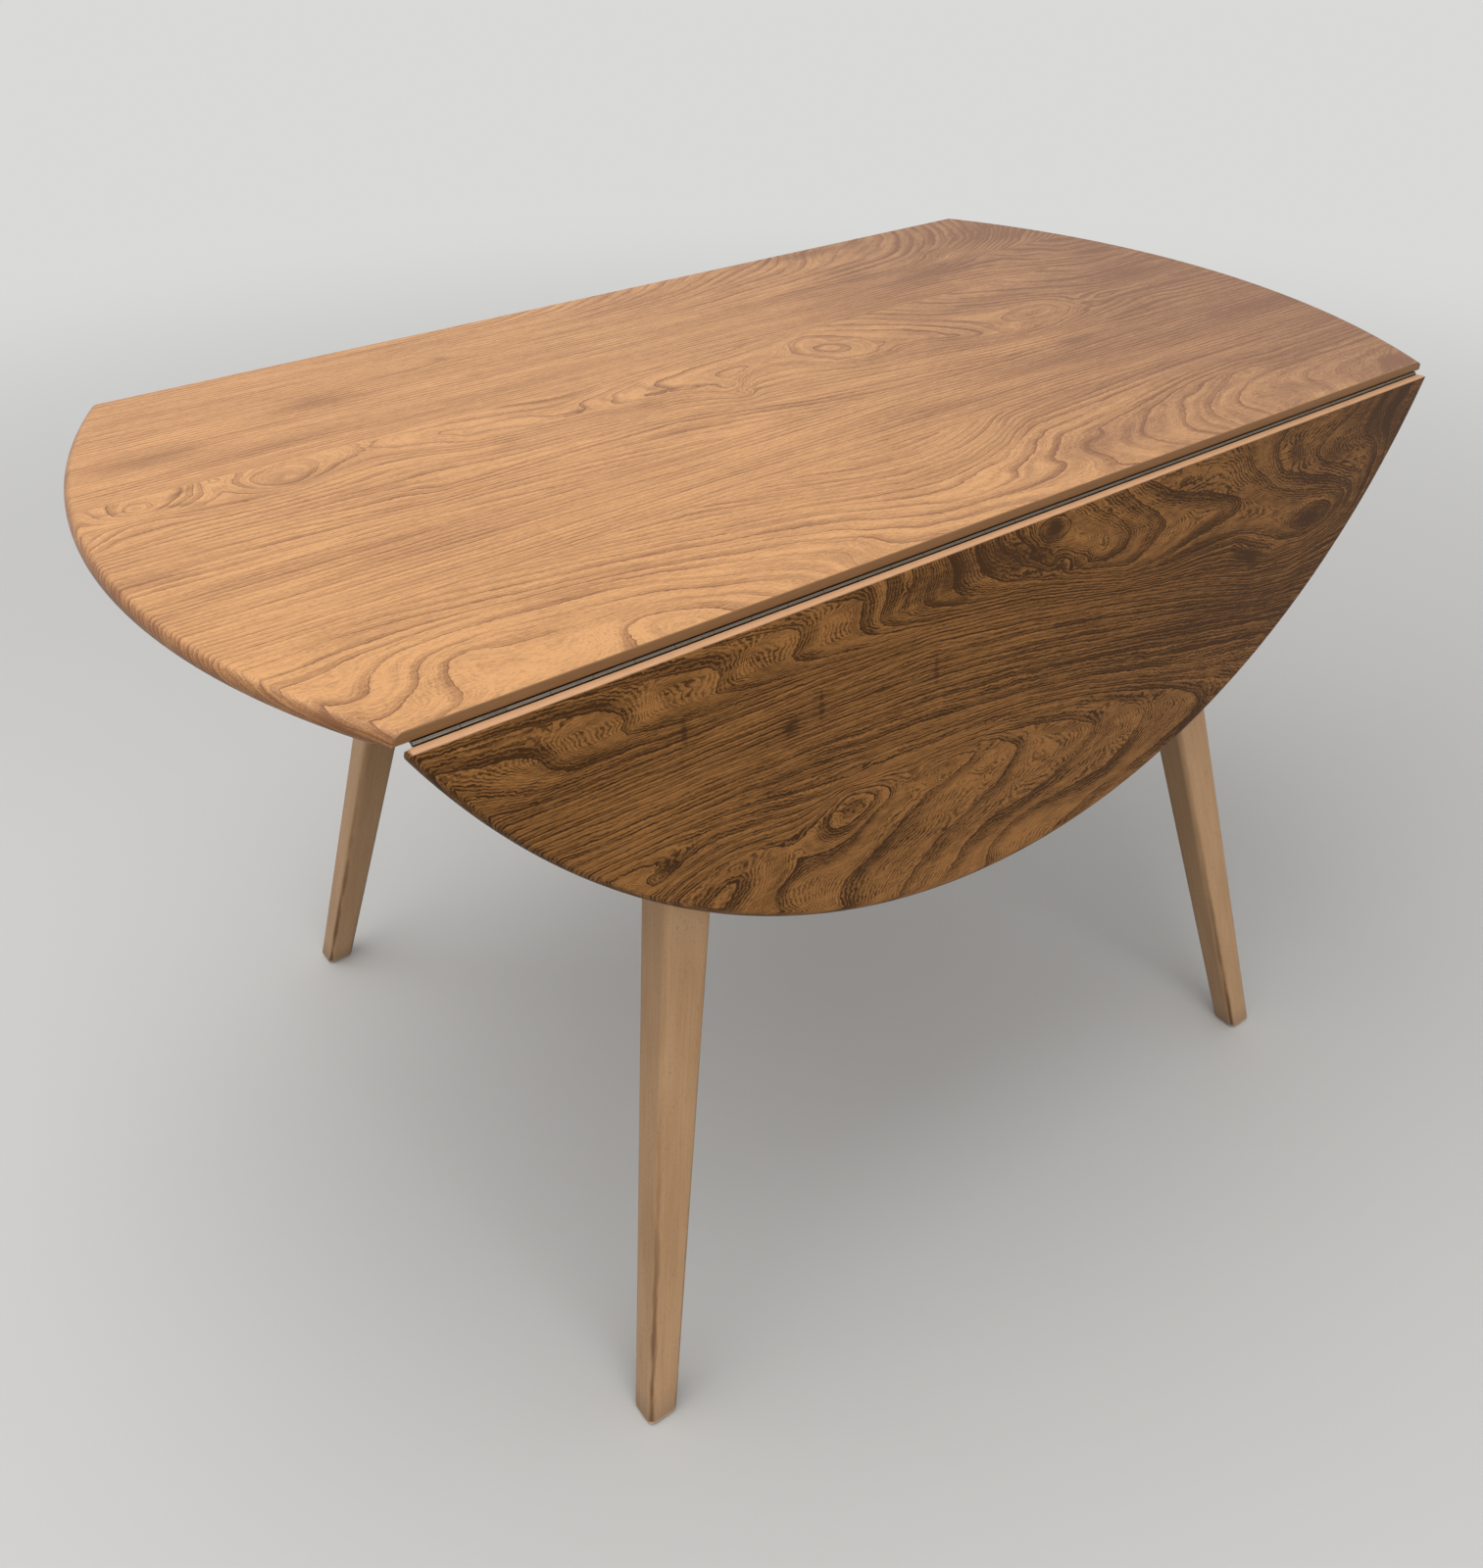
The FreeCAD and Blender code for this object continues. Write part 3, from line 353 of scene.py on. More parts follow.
LEAF_BOARDS = [
    (0, 310, [
        (0, [(-490, 16), (-455, 25), (-435, 28), (-418, 35), (-408, 46), (-390, 52), (-350, 54), (-300, 57),
            (-200, 58), (-100, 63), (0, 78), (100, 97), (200, 118), (270, 138), (320, 146), (365, 147)]),
        (1, [(-480, 8), (-440, 9), (-400, 13), (-375, 18), (-360, 26), (-357, 33), (-359, 41), (-340, 46),
            (-300, 51), (-200, 54), (-100, 60), (0, 74), (100, 94), (200, 114), (270, 133), (320, 141),
            (372, 140)]),
        (2, [(-400, 3), (-350, 8), (-320, 12), (-295, 17), (-284, 23), (-288, 32), (-285, 40), (-262, 44),
            (-200, 50), (-100, 57), (0, 71), (100, 92), (200, 110), (270, 129), (320, 137), (380, 132)]),
        (3, [(-290, 3), (-260, 7), (-235, 9), (-222, 14), (-221, 25), (-226, 35), (-215, 41), (-180, 46),
            (-100, 54), (0, 68), (100, 89), (200, 106), (265, 124), (320, 132), (386, 125)]),
        (4, [(-200, 2), (-180, 6), (-165, 12), (-168, 25), (-165, 35), (-152, 42), (-100, 51), (-40, 59),
            (0, 65), (60, 79), (150, 97), (200, 102), (240, 111), (290, 124), (330, 127), (392, 118)]),
        (5, [(-146, 1), (-144, 12), (-150, 25), (-149, 34), (-138, 41), (-100, 48), (-40, 56), (0, 62),
            (60, 76)]),
        (6, [(-122, 1), (-121, 14), (-128, 27), (-124, 36), (-108, 42), (-70, 49), (-20, 56), (40, 69)]),
        (7, [(-106, 1), (-105, 18), (-110, 30), (-102, 38), (-80, 44), (-40, 51), (0, 57), (50, 69),
            (100, 83), (150, 90), (200, 92), (235, 96), (262, 108), (290, 118), (335, 120), (372, 116),
            (400, 104), (412, 88), (416, 76), (408, 66), (385, 57), (362, 48), (346, 38), (348, 28),
            (368, 18), (392, 8), (398, 0)]),
        (8, [(-88, 1), (-82, 18), (-80, 30), (-68, 39), (-40, 47), (0, 54), (50, 67), (100, 81), (150, 87),
            (210, 87), (245, 91), (275, 103), (305, 114), (340, 116), (372, 111), (396, 99), (404, 87),
            (399, 75), (378, 65), (345, 56), (312, 46), (295, 36), (286, 22), (292, 6), (300, 0)]),
        (9, [(-62, 1), (-58, 16), (-48, 30), (-25, 42), (10, 52), (60, 66), (110, 78), (160, 82), (215, 81),
            (252, 85), (282, 95), (308, 107), (335, 111), (365, 107), (386, 98), (393, 88), (384, 78),
            (350, 69), (312, 61), (286, 49), (266, 34), (252, 19), (242, 0)]),
        (10, [(-42, 1), (-34, 16), (-15, 31), (20, 47), (60, 61), (100, 72), (135, 76), (165, 74),
            (205, 67), (235, 62), (244, 54), (237, 46), (213, 37), (184, 28), (152, 17), (125, 2)]),
        (11, [(-22, 1), (-12, 15), (8, 31), (40, 47), (75, 62), (102, 68), (122, 63), (138, 54), (148, 44),
            (142, 36), (128, 26), (112, 15), (98, 2)]),
        (12, [(0, 28), (20, 40), (40, 50), (62, 56), (90, 56), (104, 49), (106, 39), (95, 27), (76, 15),
            (58, 2)]),
        (13, [(2, 12), (8, 20), (20, 23), (32, 20), (36, 11), (30, 3), (14, 1), (4, 5), (2, 12)]),
        (10, [(314, 95), (325, 103), (345, 106), (366, 102), (374, 94), (365, 85), (345, 82), (325, 86),
            (314, 95)]),
        (10.7, [(334, 95), (356, 93)]),
        (12.6, [(45, 36), (80, 42)]),
        (13.5, [(18, 12)]),
        (-18.6, [(-150, 190), (-172, 205)]),
        (-17.5, [(-60, 190), (-45, 200)]),
        (-16.5, [(10, 205), (30, 215)]),
        (-15.5, [(105, 212)]),
        (-14.5, [(170, 225)]),
        (10.5, [(180, 50), (210, 54)]),
        (6, [(440, 4), (425, 18), (415, 34), (430, 46), (434, 62), (426, 84), (408, 106)]),
        (5, [(470, 6), (452, 22), (448, 40), (445, 62)]),
        (-4, [(-450, 78), (-400, 78), (-300, 78), (-200, 80), (-100, 84), (0, 98), (100, 118), (200, 139),
            (290, 160), (345, 166)]),
        (-9, [(-430, 101), (-380, 103), (-300, 103), (-200, 106), (-100, 113), (0, 127), (100, 146),
            (200, 168), (310, 190)]),
        (-12, [(-400, 122), (-340, 121), (-270, 122), (-200, 128), (-100, 137), (0, 148), (60, 160),
            (120, 176), (190, 196), (260, 210)]),
        (-14, [(-380, 132), (-320, 131), (-270, 135), (-200, 144), (-100, 150), (-40, 153), (0, 158),
            (50, 168), (100, 181), (150, 197), (185, 210), (206, 221), (215, 232), (206, 241), (182, 252),
            (130, 265), (80, 275), (50, 286)]),
        (-15, [(-220, 152), (-150, 156), (-60, 160), (0, 167), (50, 176), (100, 190), (125, 202),
            (142, 215), (136, 230), (117, 243), (95, 252), (60, 255), (20, 256), (-10, 261), (-30, 271),
            (-38, 289)]),
        (-16, [(-90, 162), (-40, 168), (10, 178), (50, 189), (75, 200), (81, 210), (62, 225), (30, 237),
            (0, 242), (-38, 247), (-60, 258), (-74, 274), (-88, 288)]),
        (-17, [(-100, 164), (-50, 168), (-25, 178), (-8, 190), (-15, 201), (-30, 215), (-60, 229),
            (-90, 240), (-110, 255), (-126, 270)]),
        (-18, [(-180, 158), (-145, 164), (-115, 178), (-99, 191), (-110, 199), (-135, 212), (-160, 225),
            (-182, 236), (-190, 250), (-184, 262)]),
        (-17, [(-260, 160), (-290, 158), (-330, 166)]),
        (-19, [(-290, 172), (-262, 172), (-240, 180), (-226, 192), (-232, 206), (-246, 218), (-246, 232),
            (-236, 246)]),
        (-16, [(-372, 143), (-350, 146), (-335, 150), (-325, 157), (-336, 163), (-352, 160)]),
    ]),
]
REAR_LEAF_BOARDS = [
    (0, 310, [
        (0, [(-560, 4), (0, 3), (560, 5)]),
        (-6, [(-500, 44), (-200, 48), (0, 52), (200, 46), (500, 40)]),
        (-10, [(-450, 84), (-250, 92), (0, 104), (180, 92), (440, 72)]),
        (-12, [(-420, 112), (-250, 126), (-60, 150), (60, 152), (200, 124), (400, 98)]),
        (-13, [(-360, 150), (-220, 168), (-90, 196), (0, 210), (90, 190), (220, 158), (380, 126)]),
        (-14, [(-280, 196), (-180, 214), (-70, 246), (10, 256), (90, 232), (220, 196), (320, 168)]),
        (-15, [(-180, 246), (-80, 280), (0, 292), (80, 276), (180, 240)]),
    ]),
]
# Patches of tone: x, y, half-length, half-width, degrees turned, and how much darker (or paler) the wood is.
PANEL_TONES = [
    (-495, 160, 42, 13, 0, 0.6), (-340, 196, 35, 14, 0, 0.5), (-395, 132, 70, 13, 0, 0.4),
    (-120, 190, 50, 20, 0, 0.15), (-140, 120, 60, 12, 0, 0.18), (-209, 233, 8, 6, 0, 0.6),
    (-480, 196, 60, 10, 0, -0.2), (0, 276, 60, 22, 5, 0.25), (285, 292, 55, 9, 0, 0.5),
    (255, 200, 32, 18, 0, 0.35), (190, 165, 60, 24, 0, 0.2), (330, 158, 66, 13, 6, 0.5),
    (375, 188, 22, 8, 20, -0.2), (470, 232, 50, 26, -20, 0.3), (528, 109, 22, 7, 0, 0.7),
    (490, 32, 60, 12, 0, 0.5), (250, 55, 50, 22, 0, 0.25), (400, 62, 80, 18, 0, 0.15),
    (93, 41, 15, 13, 0, 0.5), (93, 41, 8, 7, 0, -0.7), (-250, 22, 12, 20, 0, 0.22),
    (-115, 22, 12, 10, 0, 0.25), (-372, -38, 38, 7, -8, 0.35), (-548, -40, 26, 7, 0, 0.35),
    (-420, -62, 110, 8, 0, -0.2), (-128, -38, 28, 9, 0, 0.35), (-30, -46, 60, 10, -20, 0.3),
    (150, -12, 60, 11, -5, 0.2), (255, -60, 60, 8, 0, -0.3), (110, -46, 40, 10, -10, -0.15),
    (-300, -82, 230, 5, 0, 0.3), (290, -82, 16, 8, 0, 0.6), (-300, -100, 170, 4, 0, 0.18),
    (280, -112, 90, 16, 0, 0.25), (500, -118, 60, 13, 0, 0.4), (100, -134, 110, 7, 0, 0.22),
    (-60, -152, 90, 7, 0, 0.2), (130, -176, 110, 9, 0, 0.15), (478, -291, 16, 12, 25, 0.8),
    (374, -287, 5, 15, -15, 0.5), (-520, -200, 40, 60, 0, -0.2), (-420, -288, 90, 14, 0, -0.15),
    (-415, 63, 15, 12, 0, 1.0), (-415, 63, 7, 5, 0, -1.1), (-495, 84, 16, 3, 25, 0.7),
    (-502, 65, 14, 3, -20, 0.7), (-540, 78, 18, 3, -5, 0.5), (-545, 60, 24, 6, 0, -0.25),
    (-474, 66, 10, 16, 0, -0.25), (-170, 47, 15, 4, 8, 0.6), (-138, 52, 4, 9, 20, 0.6),
    (-96, 55, 5, 10, 15, 0.6), (-120, 50, 6, 9, 15, -0.3), (-340, 82, 30, 6, -12, -0.25),
    (-430, -261, 9, 5, 0, 0.5), (-430, -261, 4, 3, 0, -0.6), (-562, -58, 8, 6, 0, -0.4),
    (10, 60, 30, 3, 0, 0.15), (460, 272, 40, 10, 35, -0.15), (390, 95, 130, 50, 0, -0.06),
    (150, -264, 80, 26, 0, 0.36), (-440, -250, 60, 24, 0, -0.12),
]
LEAF_TONES = [
    (20, 275, 80, 14, 0, -0.35), (-150, 172, 120, 24, 5, -0.15), (-25, 20, 60, 17, 15, 0.55),
    (438, 28, 34, 30, 0, 0.55), (372, 40, 16, 9, 0, 0.3), (342, 95, 20, 7, 0, 0.9),
    (263, 108, 17, 5, 15, 0.8), (240, 158, 110, 28, 10, 0.2), (100, 138, 150, 18, 10, 0.15),
    (-242, 216, 7, 26, 0, 0.35), (-331, 155, 8, 5, 10, 0.7), (-229, 88, 6, 6, 0, 0.8),
    (-314, 57, 2, 9, 0, 0.6), (-202, 78, 2, 13, 0, 0.4), (-96, 90, 2, 10, 0, 0.6),
    (-430, 42, 28, 10, 0, -0.15), (-348, 30, 18, 14, 0, -0.25), (-280, 24, 18, 12, 0, -0.2),
    (-212, 22, 18, 13, 0, -0.25), (-150, 26, 13, 15, 0, -0.25), (52, 32, 28, 12, 15, -0.4),
    (20, 12, 9, 6, 0, 1.7), (180, 70, 60, 6, 5, -0.15), (115, 42, 14, 6, 0, 0.2), (310, 22, 12, 22, 0, 0.3),
    (345, 80, 26, 4, 0, -0.2), (-174, 186, 14, 8, 0, 0.2), (-174, 186, 6, 4, 0, -0.5),
    (-85, 22, 60, 16, 0, 0.45), (-350, 120, 60, 40, 0, -0.22), (-415, 35, 60, 26, 0, 0.16),
]
REAR_LEAF_TONES = [
    (-260, 120, 120, 20, 5, 0.3), (180, 70, 90, 16, -5, 0.25), (60, 210, 70, 24, 0, -0.3),
]

# How the figure runs between the drawn lines
FIGURE_STRETCH = 0.6          # places count as closer along the grain than across it
RING_STEP = 15.0              # a drawn line is held at about this spacing, in millimetres
LOOSENESS = 4.0               # how freely the figure may leave a drawn line to stay smooth
BATCH = 4096                  # places worked out at a time
DEPTH_RINGS = 0.30            # growth rings met for each millimetre into a board
BOARD_RINGS = 100             # added to the ring numbers from one glued board to the next
FAR_END_SHADE = (-60.0, 560.0)   # boards are painted darker between these places along them, as painted shade towards the far end
FINE_TONE = 10.0              # a patch of tone narrower than this gets close places of its own
FINE_SHARES = np.arange(-1.6, 1.61, 0.4)   # those places, as shares of the patch's half-size


def ring_field(lines, x, y):
    """Ring number at each place, run smoothly through the drawn lines, and rings met per millimetre."""
    places = []
    values = []
    for ring, points in lines:
        for (x0, y0), (x1, y1) in zip(points, points[1:]):
            steps = max(1, round(math.hypot(x1 - x0, y1 - y0) / RING_STEP))
            for step in range(steps):
                share = step / steps
                places.append((x0 + (x1 - x0) * share, y0 + (y1 - y0) * share))
                values.append(ring)
        places.append(points[-1])
        values.append(ring)
    held = np.array(places) * (FIGURE_STRETCH, 1.0)
    count = len(held)

    def squared(a, b):
        apart = (a ** 2).sum(axis=1)[:, None] + (b ** 2).sum(axis=1)[None, :] - 2 * a @ b.T
        return np.maximum(apart, 1e-9)

    apart = squared(held, held)
    plane = np.column_stack([np.ones(count), held])
    system = np.zeros((count + 3, count + 3))
    system[:count, :count] = 0.5 * apart * np.log(apart) + np.eye(count) * LOOSENESS
    system[:count, count:] = plane
    system[count:, :count] = plane.T
    solved = np.linalg.solve(system, np.append(values, [0.0, 0.0, 0.0]))
    weights, level, tilt = solved[:count], solved[count], solved[count + 1:]
    wanted = np.column_stack([x * FIGURE_STRETCH, y])
    rings = np.empty(len(wanted))
    slopes = np.empty(len(wanted))
    for start in range(0, len(wanted), BATCH):
        part = wanted[start:start + BATCH]
        apart = squared(part, held)
        log = np.log(apart)
        rings[start:start + BATCH] = (0.5 * apart * log) @ weights + level + part @ tilt
        pull = (log + 1.0) * weights
        slope = part * pull.sum(axis=1)[:, None] - pull @ held + tilt
        slopes[start:start + BATCH] = np.hypot(slope[:, 0] * FIGURE_STRETCH, slope[:, 1])
    return rings, slopes


def figure(boards, x, y):
    """Ring numbers, and rings per millimetre, over several boards glued edge to edge."""
    rings = np.zeros_like(x)
    slopes = np.zeros_like(x)
    for number, (low, high, lines) in enumerate(boards):
        here = (y >= low) & (y < high)
        if number == 0:
            here |= y < low
        if number == len(boards) - 1:
            here |= y >= high
        if here.any():
            rings[here], slopes[here] = ring_field(lines, x[here], y[here])
            rings[here] += number * BOARD_RINGS
    return rings, slopes


def tone_field(patches, x, y):
    """How much darker or paler each place is."""
    total = np.zeros_like(x)
    for x0, y0, half_length, half_width, degrees, change in patches:
        turn = math.radians(degrees)
        along = (x - x0) * math.cos(turn) + (y - y0) * math.sin(turn)
        across = (y - y0) * math.cos(turn) - (x - x0) * math.sin(turn)
        total += change * np.exp(-(along / half_length) ** 2 - (across / half_width) ** 2)
    return total


def fine_places(patches):
    """Places close together over each narrow patch of tone."""
    found = []
    for x0, y0, half_length, half_width, degrees, _ in patches:
        if half_width < FINE_TONE or half_length < FINE_TONE:
            turn = math.radians(degrees)
            for along in FINE_SHARES * half_length:
                for across in FINE_SHARES * half_width:
                    found.append((x0 + along * math.cos(turn) - across * math.sin(turn),
                                  y0 + along * math.sin(turn) + across * math.cos(turn)))
    return found


# Shape of the boards, in millimetres. A board's vertices lie close together along its edges and joints,
# and on a grid elsewhere, because they hold the grain's figure.
EDGE_RINGS = (0.0, 0.12, 0.4, 0.9, 1.5, 2.3, 3.3, 4.4, 5.6, 7.0, 8.2, 10.0, 22.0)
JOINT_LINES = (0.0, 0.12, 0.35, 0.65, 0.9, 1.3, 1.65, 1.9, 2.6)
REBATE_LINES = (0.0, 0.02, 1.5)   # beyond the far side of the hinge rebate
SEAM_HALF = 0.04              # a glue line is this far either side of its middle
GRID_STEP = 5.0               # spacing of the grid
GRID_INSIDE = 11.0            # the grid stays this far inside the oval's edge
GRID_OFF_JOINT = 4.0          # and this far off a joint
GRID_OFF_SEAM = 1.0           # and this far off a glue line
BEYOND_JOINT = 6.0            # oval lines run this far past a joint before they are trimmed
BEYOND_OVAL = 8.0             # joint lines run this far past the oval's ends before they are trimmed
EDGE_SHADE_WIDTH = 7.5               # how far in from the oval's edge the wood is painted darker, as painted shade on the rounded edge
JOINT_FADE = 1.3              # how far in from a joint the colour of its edge fades out
HAIR = 0.01                   # keeps two faces apart, or a line inside a face
BOARD_SHARP = 38              # degrees above which a board's edge is sharp
FAR = 99.0                    # stands for a distance or depth that plays no part


def oval_inset(size, x, y):
    """How far inside the oval's edge each place lies, found by a few ever smaller corrections."""
    inset = np.zeros_like(x)
    for _ in range(9):
        a = size.open_length / 2 - inset
        b = size.open_width / 2 - inset
        over = (x / a) ** 2 + (y / b) ** 2 - 1
        slope = 2 * x ** 2 / a ** 3 + 2 * y ** 2 / b ** 3
        inset = np.clip(inset - over / np.maximum(slope, 1e-9), -1.0, 60.0)
    return inset


def quarter_drop(inset, radius):
    """How far a quarter-round lies below the face, at a distance inside the edge."""
    inside = np.clip(inset, 0.0, radius)
    return radius - np.sqrt(np.maximum(radius ** 2 - (radius - inside) ** 2, 0.0))


class Corner:
    """A corner of a board in plan, rounded where the oval meets a joint."""

    def __init__(self, size, sx, y, facing):
        x = sx * size.open_length / 2 * math.sqrt(1 - (2 * y / size.open_width) ** 2)
        place = np.array([x, y])
        outward = place / (size.open_length ** 2, size.open_width ** 2)
        self.outward = outward / np.linalg.norm(outward)
        self.across = np.array([0.0, facing])
        self.radius = size.corner_round
        reach = self.radius * 0.99
        self.centre = place - (self.outward + self.across) * reach / (1 + self.outward @ self.across)

    def arc(self):
        """Places along the rounding."""
        found = []
        for share in np.linspace(0.0, 1.0, 9):
            direction = self.outward * (1 - share) + self.across * share
            found.append(tuple(self.centre + direction / np.linalg.norm(direction) * self.radius))
        return found

    def inset(self, x, y):
        """Distance inside the arc in its own wedge, and far inside elsewhere."""
        dx = x - self.centre[0]
        dy = y - self.centre[1]
        base = self.outward[0] * self.across[1] - self.outward[1] * self.across[0]
        along = (dx * self.across[1] - dy * self.across[0]) / base
        over = (self.outward[0] * dy - self.outward[1] * dx) / base
        return np.where((along > 0) & (over > 0), self.radius - np.hypot(dx, dy), FAR)


def corners_at(size, joints):
    """Both corners at the ends of each joint."""
    return [Corner(size, sx, edge, facing) for edge, facing in joints for sx in (-1, 1)]


class Plan:
    """Places and lines of a board's plan, before it is cut into triangles."""

    def __init__(self):
        self.places = []
        self.edges = []

    def add(self, line):
        first = len(self.places)
        self.places.extend(line)
        self.edges.extend((n, n + 1) for n in range(first, first + len(line) - 1))

    def add_oval(self, a, b, low, high):
        """The stretches of an oval line that lie between two levels."""
        steps = round(math.pi * (a + b) / GRID_STEP)
        run = []
        for turn in np.linspace(0.0, 2 * math.pi, steps + 1):
            place = (a * math.cos(turn), b * math.sin(turn))
            if low < place[1] < high:
                run.append(place)
            elif run:
                self.add(run)
                run = []
        if run:
            self.add(run)


def plan_of_board(size, low, high, joints, seams, fine):
    """Triangles of a board's plan in millimetres, fine along its edges, joints and seams."""
    plan = Plan()
    half_x = size.open_length / 2
    half_y = size.open_width / 2
    for inset in EDGE_RINGS:
        plan.add_oval(half_x - inset, half_y - inset, low - BEYOND_JOINT, high + BEYOND_JOINT)
    across = np.arange(-half_x - BEYOND_OVAL, half_x + BEYOND_OVAL + 0.1, GRID_STEP)
    insets = JOINT_LINES + tuple(size.hinge_reach + beyond for beyond in REBATE_LINES)
    for edge, facing in joints:
        for inset in insets:
            plan.add([(x, edge - facing * inset) for x in across])
        for corner in corners_at(size, [(edge, facing)]):
            plan.add(corner.arc())
    for seam in seams:
        for side in (-SEAM_HALF, SEAM_HALF):
            plan.add([(x, seam + side) for x in across])
    grid_x = np.arange(-half_x + GRID_STEP / 2, half_x, GRID_STEP)
    grid_y = np.arange(max(low, -half_y) + GRID_STEP / 2, min(high, half_y), GRID_STEP)
    x, y = [side.ravel() for side in np.meshgrid(grid_x, grid_y)]
    fine = np.array(fine).reshape(-1, 2)
    x = np.append(x, fine[:, 0])
    y = np.append(y, fine[:, 1])
    clear = oval_inset(size, x, y) > GRID_INSIDE
    for edge, _ in joints:
        clear &= np.abs(y - edge) > GRID_OFF_JOINT
    for seam in seams:
        clear &= np.abs(y - seam) > GRID_OFF_SEAM
    plan.places.extend(zip(x[clear], y[clear]))
    places = [Vector(place) for place in plan.places]
    found, _, faces, _, _, _ = delaunay_2d_cdt(places, plan.edges, [], 0, 1e-4)
    flat = np.array([tuple(place) for place in found])
    faces = np.array(faces)
    x, y = flat[faces].mean(axis=1).T
    keep = oval_inset(size, x, y) > 0
    for edge, facing in joints:
        keep &= (edge - y) * facing > 0
    for corner in corners_at(size, joints):
        keep &= corner.inset(x, y) > 0
    faces = faces[keep]
    used = np.unique(faces)
    renumber = np.full(len(flat), -1)
    renumber[used] = np.arange(len(used))
    flat = flat[used]
    faces = renumber[faces]
    corners = flat[faces]
    turn = np.cross(corners[:, 1] - corners[:, 0], corners[:, 2] - corners[:, 0])
    faces[turn < 0] = faces[turn < 0][:, ::-1]
    return flat[:, 0], flat[:, 1], faces


def board_heights(size, joints, x, y):
    """How far the upper and the lower face lie below the level of the top, in millimetres."""
    inset = oval_inset(size, x, y)
    upper = quarter_drop(inset, size.round_over)
    slope = math.atan2(size.undercut_height, size.undercut_reach)
    turn = math.pi / 2 - slope
    round_height = size.thickness - size.undercut_height - size.soft_edge * math.tan(turn / 2)
    side = np.clip(1 - inset / size.soft_edge, math.cos(turn), 1.0)
    soft = round_height + size.soft_edge * np.sin(np.arccos(side))
    under = size.thickness - (size.undercut_reach - inset) * math.tan(slope)
    lower = np.where(inset < size.soft_edge * (1 - math.cos(turn)), soft, np.minimum(under, size.thickness))
    for corner in corners_at(size, joints):
        upper = np.maximum(upper, quarter_drop(corner.inset(x, y), size.joint_arris))
    hinge_depth = (TOP_HIGH.z - HINGE_LINE.z) * MILLI
    for edge, facing in joints:
        away = (edge - y) * facing
        upper = np.maximum(upper, quarter_drop(away, size.joint_arris))
        from_hinge = away + size.joint_gap / 2
        cove = hinge_depth - np.sqrt(np.maximum(size.hinge_cove ** 2 - from_hinge ** 2, 0.0))
        rebate = np.where(away < size.hinge_reach + HAIR, size.hinge_lip, size.thickness)
        lower = np.minimum(lower, np.minimum(rebate, np.where(from_hinge < size.hinge_cove, cove, FAR)))
    return upper, np.maximum(lower, upper + HAIR)


def drawn_piece(name, vertices, faces, held, sharp, finish):
    """A new piece whose vertices hold what its finish needs, with edges sharp above so many degrees."""
    mesh = bpy.data.meshes.new(name)
    mesh.from_pydata(vertices, [], faces)
    for kind, values in held.items():
        values = np.array(values, dtype=float)
        if values.ndim == 2:
            mesh.attributes.new(kind, "FLOAT_VECTOR", "POINT").data.foreach_set("vector", values.ravel())
        else:
            mesh.attributes.new(kind, "FLOAT", "POINT").data.foreach_set("value", values)
    mesh.shade_smooth()
    mesh.set_sharp_from_angle(angle=math.radians(sharp))
    mesh.materials.append(finish)
    piece = bpy.data.objects.new(name, mesh)
    bpy.context.scene.collection.objects.link(piece)
    return piece


def board(name, low, high, joints, seams, grain_place, boards, tones, look, finish):
    """A board drawn level, with its grain's figure held at its vertices."""
    size = Millimetres(settings().boards)
    fine = [grain_place(np.float64(x), np.float64(y)) for x, y in fine_places(tones)]
    x, y, faces = plan_of_board(size, low, high, joints, seams, fine)
    upper, lower = board_heights(size, joints, x, y)
    depth = np.concatenate([upper, lower])
    vertices = np.column_stack([np.tile(x, 2) / MILLI, np.tile(y, 2) / MILLI, TOP_HIGH.z - depth / MILLI])
    count = len(x)
    sides = {}
    for a, b, c in faces.tolist():
        for pair in ((a, b), (b, c), (c, a)):
            if pair[::-1] in sides:
                del sides[pair[::-1]]
            else:
                sides[pair] = True
    walls = [(b, a, a + count, b + count) for a, b in sides]
    along, across = grain_place(x, y)
    rings, slopes = figure(boards, along, across)
    start, end = FAR_END_SHADE
    tone = tone_field(tones, along, across)
    # Painted shade: the wood is darkened more and more towards the far end of each board.
    tone += np.clip((along - start) / (end - start), 0.0, 1.0) * look["far_end_shade"]
    at_joint = np.zeros_like(x)
    for edge, _ in joints:
        at_joint = np.maximum(at_joint, np.clip(JOINT_FADE - np.abs(edge - y), 0.0, 1.0))
    # Painted shade: the wood is darkened near the oval's edge, where the rounded edge turns down into shade.
    rim = np.clip(1.0 - oval_inset(size, x, y) / EDGE_SHADE_WIDTH, 0.0, 1.0)
    held = {
        "grain_place": np.column_stack([np.tile(along, 2), np.tile(across, 2), depth]),
        "growth_ring": np.tile(rings, 2) + depth * DEPTH_RINGS,
        "ring_slope": np.tile(slopes, 2),
        "tone": np.tile(tone, 2),
        "joint_edge": np.tile(at_joint, 2),
        "rim": np.tile(rim, 2),
    }
    under = faces[:, ::-1] + count
    faces = faces.tolist() + under.tolist() + walls
    return drawn_piece(name, vertices.tolist(), faces, held, BOARD_SHARP, finish)


class DINING_TABLE_OT_top_panel(bpy.types.Operator):
    """Build the fixed middle board"""
    bl_idname = "dining_table.top_panel"
    bl_label = "Middle board"

    def execute(self, context):
        half = settings().boards.panel_width / 2 * MILLI
        seams = [low for low, _, _ in PANEL_BOARDS[1:]]
        wood = settings().wood
        finish = elm("elm_top", wood.top_pale, wood.top_ring, wood.panel_joint, TOP_LOOK)
        piece = board("middle_board", -half, half, [(-half, -1), (half, 1)], seams,
                      lambda x, y: (x, y), PANEL_BOARDS, PANEL_TONES, TOP_LOOK, finish)
        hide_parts("top_panel")
        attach(piece, "table")
        return {"FINISHED"}


